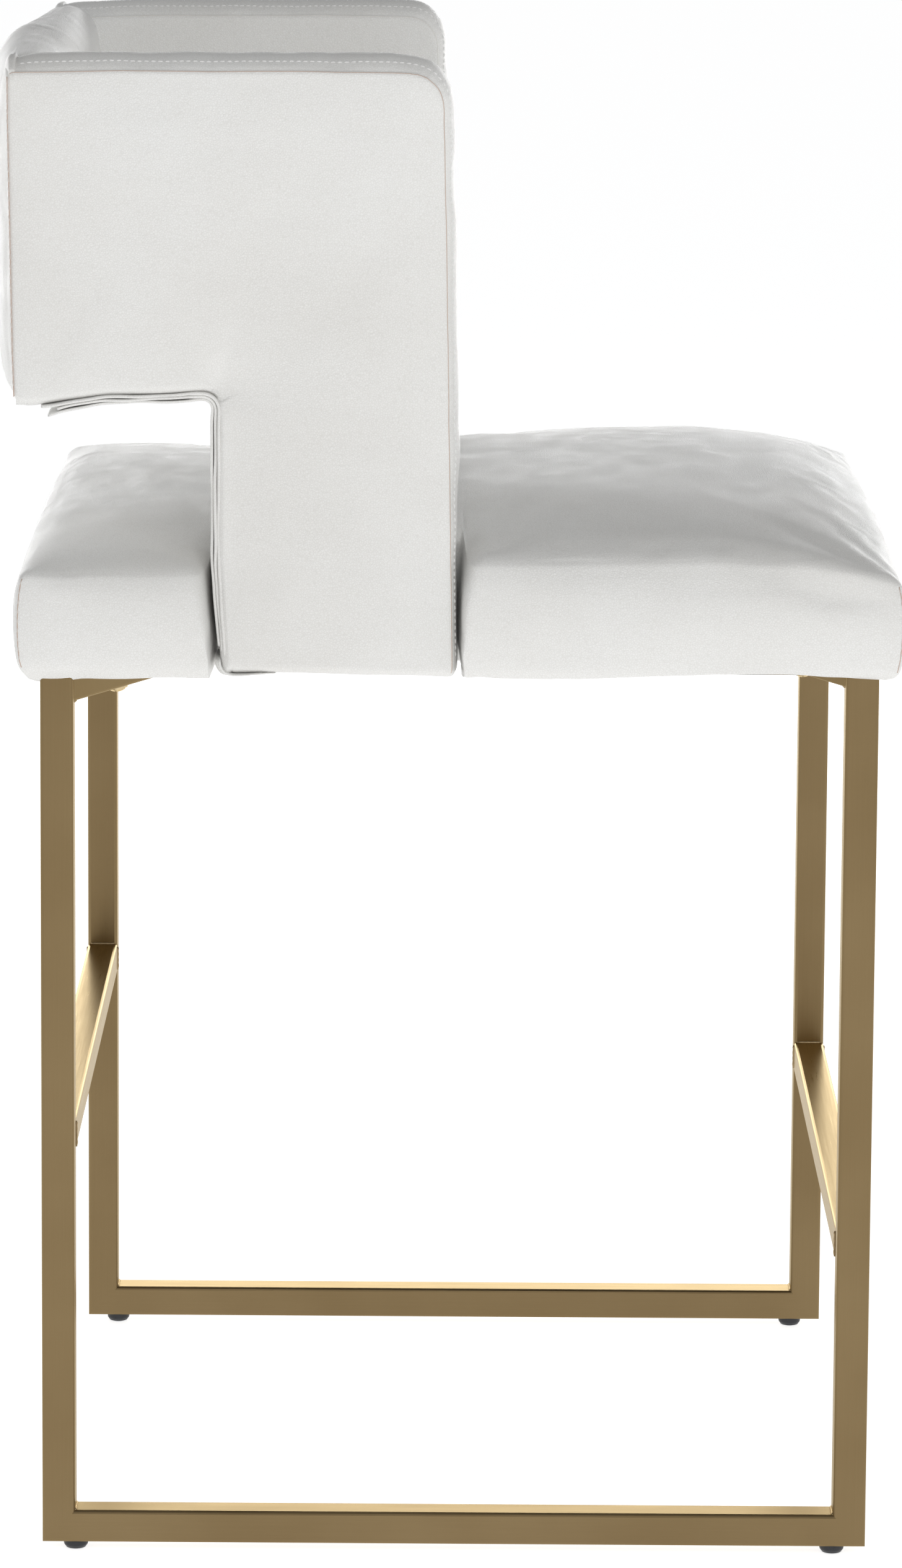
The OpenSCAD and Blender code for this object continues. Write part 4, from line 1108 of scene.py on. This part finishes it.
def build_seat():
    AX, AY = 266.0, 271.0
    dense_r = [148.8 + v for v in (0, 0.5, 1.2, 2.1, 3.3, 5, 7.2, 10, 13.5, 17.5, 22, 27, 33, 40)]
    dense_f = [0.6 - v for v in (0, 0.5, 1.2, 2.1, 3.3, 4.6, 6.2, 8.4, 11, 14.5, 19, 25, 32)]
    ys = list(lines([190.2 + 6, AY], 8.0, [0])) + dense_r + list(np.linspace(0.6, 148.8, 20)[1:-1]) + dense_f + list(np.linspace(-42, -AY, 30))
    ys += [AY - v for v in EDGE[1:6]] + [-AY + v for v in EDGE[1:6]]
    yy = np.array(sorted(set(round(float(v), 3) for v in ys)))
    keep = [yy[0]]
    for v in yy[1:]:
        if v - keep[-1] > 0.35:
            keep.append(v)
    fr = np.array(keep) / AY            # fractions of the half depth; the rows' ends are pulled in by the side profile
    cf = lines([-1, 1], 0.031, [0, 0.003, 0.007, 0.013, 0.021, 0.034, 0.05])
    ny, nx = len(fr), len(cf)

    def half_x(Y, z, sgn):
        bowx = 3.8 * (np.clip(np.abs(Y) / AY, 0, 1)) ** 9.0
        full = AX - bowx - tab(z, SIDE_LOW) - tab(z, SIDE_TOP) * rim_k(AY - np.abs(Y))
        return NX + (full - NX) * shoulder(Y, z)

    def half_y(X, z, sgn):
        bowy = 4.4 * (np.clip(np.abs(X) / AX, 0, 1)) ** 9.0
        return AY - bowy - tab(z, SIDE_LOW) - tab(z, SIDE_TOP) * rim_k(AX - np.abs(X))

    def cornered(X, Y, hx, hy, r=3.0):
        """Rounds the plan's corners a little."""
        u, v = np.abs(X) - (hx - r), np.abs(Y) - (hy - r)
        m = (u > 0) & (v > 0)
        u1 = np.where(m, u / r, 0)
        v1 = np.where(m, v / r, 0)
        X2 = np.where(m, np.sign(X) * (hx - r + r * u1 * np.sqrt(np.clip(1 - v1 ** 2 / 2, 0, 1))), X)
        Y2 = np.where(m, np.sign(Y) * (hy - r + r * v1 * np.sqrt(np.clip(1 - u1 ** 2 / 2, 0, 1))), Y)
        return X2, Y2

    def place(fx, fy, z_edge):
        """Plan position of the point at fractions fx, fy of the outline at height z_edge."""
        Yn = fy * AY
        hx = half_x(Yn, z_edge, 1)
        X = fx * hx
        hy = half_y(X, z_edge, np.sign(fy).mean() if np.ndim(fy) else np.sign(fy))
        Y = np.where(np.abs(Yn) > 200, np.sign(Yn) * (200 + (np.abs(Yn) - 200) / (AY - 200) * (hy - 200)), Yn)
        hx2 = half_x(Y, z_edge, 1)
        X = fx * hx2
        return cornered(X, Y, hx2, hy)
    # top grid, whose rim lies at the height where the side profile has come in 6 mm
    FX, FY = np.meshgrid(cf, fr, indexing="ij")
    fx, fy = FX.ravel(), FY.ravel()
    zr = np.full(fx.shape, 615.0)
    X, Y = place(fx, fy, zr)
    # distance to the X sides, measured to the outline itself so that it follows the shoulders
    yl = fr * AY
    Xr, Yr = place(np.ones_like(yl), fr, np.full(yl.shape, 615.0))
    line = np.stack([Xr, Yr], 1)
    xe, _ = poly_dist(np.stack([np.abs(X), Y], 1), line, closed=False)
    hyv = half_y(X, zr, 1)
    ye = np.maximum(hyv - np.abs(Y), 0)
    Z = crown(xe, ye, X, Y)
    V = [np.stack([X, Y, Z], 1)]
    idx = np.arange(nx * ny).reshape(nx, ny)
    F = []
    for i in range(nx - 1):
        for j in range(ny - 1):
            F.append((idx[i, j], idx[i + 1, j], idx[i + 1, j + 1], idx[i, j + 1]))
    loop = [idx[i, 0] for i in range(nx - 1)] + [idx[nx - 1, j] for j in range(ny - 1)] + [idx[i, ny - 1] for i in range(nx - 1, 0, -1)] + [idx[0, j] for j in range(ny - 1, 0, -1)]
    loop = np.array(loop)
    lfx, lfy = fx[loop], fy[loop]
    ztop = Z[loop]
    zlow = tab(lfy * AY, EDGE_LOW) + 0.8 * np.sin(lfx * 9.0) * (np.abs(lfy) > 0.99) + 1.0 * (np.abs(lfy) > 0.99)
    inside = (lfy * AY > -3) & (lfy * AY < 150)
    zlow = np.where(inside & (np.abs(lfx) > 0.99), 546.5, zlow)
    nl = len(loop)
    prev = loop
    base = nx * ny
    fracs = [0.06, 0.13, 0.21, 0.30, 0.39, 0.48, 0.57, 0.66, 0.745, 0.82, 0.885, 0.94, 0.98, 1.0]
    for k, f in enumerate(fracs):
        z = ztop + (zlow - ztop) * f
        zz = 615 + (zlow - 615) * f          # the height that sets the side profile
        X, Y = place(lfx, lfy, zz)
        V.append(np.stack([X, Y, z], 1))
        cur = base + k * nl + np.arange(nl)
        for a in range(nl):
            b = (a + 1) % nl
            F.append((prev[a], prev[b], cur[b], cur[a]))
        prev = cur
    base2 = base + len(fracs) * nl
    # hem: turned under the lower edge, then flat in over the frame
    P0 = V[-1]
    ctr = np.zeros(2)
    dirx = np.where(np.abs(lfx) > 0.99, -np.sign(lfx), 0.0)
    diry = np.where(np.abs(lfy) > 0.99, -np.sign(lfy), 0.0)
    ln = np.hypot(dirx, diry)
    dirx, diry = dirx / ln, diry / ln
    for k, (dx, dz) in enumerate([(0.7, -0.5), (1.6, -0.4), (2.3, 0.4), (2.5, 1.6), (2.8, 3.6), (5.5, 4.6)]):
        zz = P0[:, 2] + dz
        if k == 5:
            zz = np.full(nl, 550.5)
        if k == 4:
            zz = np.minimum(P0[:, 2] + dz, 550.2)
        V.append(np.stack([P0[:, 0] + dirx * dx, P0[:, 1] + diry * dx, zz], 1))
        cur = base2 + k * nl + np.arange(nl)
        for a in range(nl):
            b = (a + 1) % nl
            F.append((prev[a], prev[b], cur[b], cur[a]))
        prev = cur
    # the closed underside, hidden between the dust cover and the board
    base3 = base2 + 6 * nl
    PB = V[-1]
    bx = {}
    inner = np.arange(nx * ny).reshape(nx, ny)
    lookup = {int(loop[a]): int(prev[a]) for a in range(nl)}
    add = []
    for i in range(nx):
        for j in range(ny):
            v = int(idx[i, j])
            if v not in lookup:
                lookup[v] = base3 + len(add)
                add.append((V[0][v][0] * 0.985, V[0][v][1] * 0.985, 550.5))
    V.append(np.array(add))
    for i in range(nx - 1):
        for j in range(ny - 1):
            F.append((lookup[int(idx[i, j])], lookup[int(idx[i, j + 1])], lookup[int(idx[i + 1, j + 1])], lookup[int(idx[i + 1, j])]))
    VV = np.concatenate(V)
    ob = new_obj("seat_cushion", VV, F)
    relax(ob, lambda P: np.where((P[:, 2] > 560), 1.0, 0.0), 2, 0.4)
    subdivide(ob, 1)

    def pin(P):
        ax, ay = np.abs(P[:, 0]), np.abs(P[:, 1])
        w = np.exp(-((P[:, 2] - 546) / 9) ** 2)
        cornerd = np.hypot(ax - 262, ay - 266)
        w = np.maximum(w, np.exp(-(cornerd / 9) ** 2))
        notch = (P[:, 1] > -14) & (P[:, 1] < 160) & (ax > NX - 6)
        w = np.where(notch, 1, w)
        w = np.where(P[:, 2] < 552, 1, w)
        return np.clip(w, 0, 1)
    puff(ob, pin, 3.2, 0.0030, voxel=0.0075, frames=14, share=0.8)
    V = get_v(ob)
    N = get_n(ob)
    P = mm_of(V)
    ax, ay = np.abs(P[:, 0]), np.abs(P[:, 1])
    top = np.clip((P[:, 2] - 600) / 30, 0, 1)
    side = (P[:, 2] < 618) & (P[:, 2] > 541)
    amp = 0.9 * waves(P, 150, 71) * top + 0.30 * waves(P, 55, 72) * top + 0.35 * waves(P, 70, 73) * side
    # pulled-in corner seams
    for cx in (-1, 1):
        for cyy in (-1, 1):
            dc = np.hypot(P[:, 0] - cx * 264.0, P[:, 1] - cyy * 267.5)
            m = P[:, 2] < 621
            amp -= np.where(m, 1.25 * np.exp(-(dc / 2.0) ** 2) + 0.9 * np.exp(-dc / 7.0), 0)
            g = np.sin(P[:, 2] * 2 * math.pi / 7.7 + cx + cyy)
            amp += np.where(m, 0.14 * g * np.exp(-((dc - 4) / 4) ** 2), 0)
    # creases: (x side, y, z, direction in the side's plane, length, width, depth)
    onside = np.clip((ax - 235) / 20, 0, 1)
    for (py, pz, ang, ln, wd, a0) in [(266, 600, 40, 60, 9, -0.5),
                                      (156, 560, 48, 46, 5, -0.9), (152, 548, 70, 34, 4.5, -0.9), (-10, 552, 120, 52, 5, -1.0), (-8, 550, 150, 40, 5, -0.8),
                                      (200, 622, 12, 70, 12, -0.6), (-60, 548, 115, 42, 6, -0.5), (-150, 550, 100, 40, 8, -0.5), (60, 560, 90, 30, 8, -0.4), (230, 545, 100, 36, 7, -0.6),
                                      (-230, 548, 75, 40, 7, -0.5)]:
        c, sn = math.cos(math.radians(ang)), math.sin(math.radians(ang))
        u = -(P[:, 1] - py) * (-c) + (P[:, 2] - pz) * sn
        u = (P[:, 1] - py) * c * (1 if py < 0 else 1) + (P[:, 2] - pz) * sn
        w = -(P[:, 1] - py) * sn + (P[:, 2] - pz) * c
        if py > 100:      # the rear creases run forward and up
            u = -(P[:, 1] - py) * c + (P[:, 2] - pz) * sn
            w = (P[:, 1] - py) * sn + (P[:, 2] - pz) * c
        elif py < -200 or py > -200:
            c2 = -c
            u = (P[:, 1] - py) * c2 + (P[:, 2] - pz) * sn
            w = -(P[:, 1] - py) * sn + (P[:, 2] - pz) * c2
        amp += a0 * np.exp(-(w / wd) ** 2) * np.exp(-((u - ln * 0.35) / (ln * 0.6)) ** 2) * onside
    # the lower edge is drawn in with small gathers where it is stapled
    g = np.sin(P[:, 1] / 11.0 + 1.5 * np.sin(P[:, 1] / 37.0)) * np.cos(P[:, 0] / 12.0 + np.sin(P[:, 0] / 41.0))
    amp += 0.30 * g * np.exp(-np.maximum(P[:, 2] - 546, 0) / 9.0) * (P[:, 2] > 540)
    V = V + N * amp[:, None] / 1000
    set_v(ob, V)
    set_mat(ob, M_WHITE)
    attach(ob, "root")
    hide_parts("seat_cover", "seat_foam")
    # thread in the four corner seams
    tree = tree_of(ob)
    for nm, cx, cyy in (("right_rear", -1, 1), ("right_front", -1, -1), ("left_rear", 1, 1), ("left_front", 1, -1)):
        d = Vector((cx * 0.70, cyy * 0.71, 0)).normalized()
        pts = []
        for z in np.linspace(618, 548, 48):
            o = Vector(to_m(np.array([[cx * 240.0, cyy * 243.0, z]]))[0])
            far = o + d * 0.095
            hit = tree.ray_cast(far, -d, 0.2)
            if hit[0] is not None and (far - hit[0]).length < 0.068:
                pts.append(np.array(hit[0]))
        Q = smooth_rows(np.array(pts), 2)
        N = np.array([[d.x, d.y, 0.0]] * len(Q))
        o = sweep(nm + "_seat_seam", Q, N, circle(0.38, 6, -0.05))
        set_mat(o, M_SEAM)
        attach(o, "root")
        o = stitches(nm + "_seat_stitch", Q + np.array([[d.x, d.y, 0]]) * 0.00005, N, 0.0030, 0.0056, 0.00034, sink=0.3)
        set_mat(o, M_DASH)
        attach(o, "root")
    return ob


seat = build_seat()


# ------------------------------------------------------------------ welds
def weld(name, pts, normals, r=1.5, seed=1):
    """A smooth fillet bead with faint ripples, along a joint."""
    Q = resample(np.array(pts, float), 1.2)
    Nn = np.array([normals] * len(Q), float)
    Nn /= np.linalg.norm(Nn, axis=1)[:, None]
    rs = np.random.RandomState(seed)
    sc = 1 + 0.10 * np.sin(np.arange(len(Q)) * 1.9 + rs.uniform(0, 6)) + 0.05 * rs.uniform(-1, 1, len(Q))
    sc[0] = sc[-1] = 0.55
    sec = [(math.cos(math.radians(a)) * r, math.sin(math.radians(a)) * r * 0.75) for a in range(0, 360, 45)]
    return sweep(name, to_m(Q), Nn, sec, seg_scale=sc)


def join(name, obs):
    bm = bmesh.new()
    for o in obs:
        bm.from_mesh(o.data)
    me = bpy.data.meshes.new(name)
    bm.to_mesh(me)
    bm.free()
    for o in obs:
        bpy.data.objects.remove(o, do_unlink=True)
    me.polygons.foreach_set("use_smooth", [True] * len(me.polygons))
    ob = bpy.data.objects.new(name, me)
    SC.collection.objects.link(ob)
    return ob


beads = []
for sx in (-1, 1):
    for sy in (-1, 1):
        # inside corner between a leg and its floor rail
        beads.append(weld("w", [(sx * 237.5, sy * 231.8, 26.2), (sx * 254.5, sy * 231.8, 26.2)], (0, -sy, 1), 0.9, 3))
for sy, zt in ((-1, 202), (1, 268)):
    for sx in (-1, 1):
        x = sx * 236.2
        for z in (zt + 0.2, zt - 20.2):
            beads.append(weld("w", [(x, sy * 242 - 8, z), (x, sy * 242 + 8, z)], (-sx, 0, 1 if z > zt else -1), 1.1, 7))
        for dy in (-10.2, 10.2):
            beads.append(weld("w", [(x, sy * 242 + dy, zt - 2), (x, sy * 242 + dy, zt - 18)], (-sx, math.copysign(1, dy), 0), 1.0, 9))
# braces: fillets round each leg
for sx in (-1, 1):
    for sy, h in ((-1, 8), (1, 20)):
        z0 = 548 - h
        beads.append(weld("w", [(sx * 236.0, sy * 241, z0 - 0.2), (sx * 236.0, sy * 232.5, z0 - 0.2), (sx * 245, sy * 231.8, z0 - 0.2)], (-sx * 0.4, -sy * 0.4, -0.8), 1.5, 5))
        beads.append(weld("w", [(sx * 235.8, sy * 246, z0 + 0.5), (sx * 235.8, sy * 246, 546)], (-sx, sy, 0), 1.3, 6))
welds = join("frame_welds", beads)
set_mat(welds, M_WELD)
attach(welds, "root")

# ------------------------------------------------------------------ floor, light, world
bm = bmesh.new()
for x, y in ((-30, -30), (40, -30), (40, 30), (-30, 30)):
    bm.verts.new((x, y, 0))
bm.faces.new(bm.verts)
me = bpy.data.meshes.new("floor")
bm.to_mesh(me)
bm.free()
floor = bpy.data.objects.new("floor", me)
SC.collection.objects.link(floor)
mf, nt, bs, tc = nodes_of("pale_floor")
bs.inputs["Base Color"].default_value = (0.80, 0.80, 0.80, 1)
bs.inputs["Roughness"].default_value = 0.9
bs.inputs["Specular IOR Level"].default_value = 0.1
bs.inputs["Emission Color"].default_value = (1, 1, 1, 1)
bs.inputs["Emission Strength"].default_value = 0.76
me.materials.append(mf)

world = bpy.data.worlds.new("studio")
SC.world = world
world.use_nodes = True
wn = world.node_tree
bg = wn.nodes["Background"]
tcw = wn.nodes.new("ShaderNodeTexCoord")
sep = wn.nodes.new("ShaderNodeSeparateXYZ")
wn.links.new(tcw.outputs["Generated"], sep.inputs[0])
rw = wn.nodes.new("ShaderNodeValToRGB")
rw.color_ramp.elements[0].position = 0.02
rw.color_ramp.elements[0].color = (0.50, 0.50, 0.50, 1)
rw.color_ramp.elements[1].position = 0.85
rw.color_ramp.elements[1].color = (0.40, 0.405, 0.41, 1)
e = rw.color_ramp.elements.new(0.22)
e.color = (0.54, 0.54, 0.54, 1)
wn.links.new(sep.outputs["Z"], rw.inputs["Fac"])
side = wn.nodes.new("ShaderNodeMapRange")
side.inputs["From Min"].default_value = -1
side.inputs["From Max"].default_value = 1
side.inputs["To Min"].default_value = 0.72
side.inputs["To Max"].default_value = 0.56
wn.links.new(sep.outputs["X"], side.inputs["Value"])
wn.links.new(rw.outputs["Color"], bg.inputs["Color"])
wn.links.new(side.outputs[0], bg.inputs["Strength"])


def area(name, loc, target, size, power, col=(1, 1, 1)):
    L = bpy.data.lights.new(name, "AREA")
    L.shape = "RECTANGLE"
    L.size, L.size_y = size
    L.energy = power
    L.color = col
    o = bpy.data.objects.new(name, L)
    SC.collection.objects.link(o)
    o.location = loc
    d = Vector(target) - Vector(loc)
    o.rotation_mode = "QUATERNION"
    o.rotation_quaternion = d.to_track_quat("-Z", "Y")
    return o


area("key", (-2.9, -0.7, 2.1), (0, 0, 0.65), (2.4, 1.5), 31).visible_camera = False
area("front", (0.8, -3.0, 1.7), (0, 0, 0.55), (1.6, 1.6), 10).visible_camera = False
area("rim", (3.7, 0.0, 0.85), (0, 0, 0.85), (4.6, 1.3), 80).visible_camera = False
area("rear", (0.4, 3.0, 1.6), (0, 0, 0.6), (1.6, 1.6), 9).visible_camera = False

SC.view_settings.view_transform = "Standard"
SC.view_settings.look = "None"
SC.view_settings.exposure = 0.0

# ------------------------------------------------------------------ camera
cam_d = bpy.data.cameras.new("camera")
cam = bpy.data.objects.new("camera", cam_d)
SC.collection.objects.link(cam)
cam_d.sensor_width = 36
cam_d.lens = 144.1
cam_d.shift_y = -0.21
cam_d.dof.use_dof = False
cam_d.clip_start, cam_d.clip_end = 0.1, 200
PITCH, ROLL, YAW = 8.460, 0.38, -0.017
cam.location = (-3.9599, -0.0053, 1.2318)
fwd = Vector((math.cos(math.radians(PITCH)), 0, -math.sin(math.radians(PITCH))))
q = fwd.to_track_quat("-Z", "Y")
cam.rotation_mode = "QUATERNION"
cam.rotation_quaternion = Quaternion((0, 0, 1), math.radians(YAW)) @ q @ Quaternion((0, 0, 1), math.radians(ROLL))
SC.camera = cam
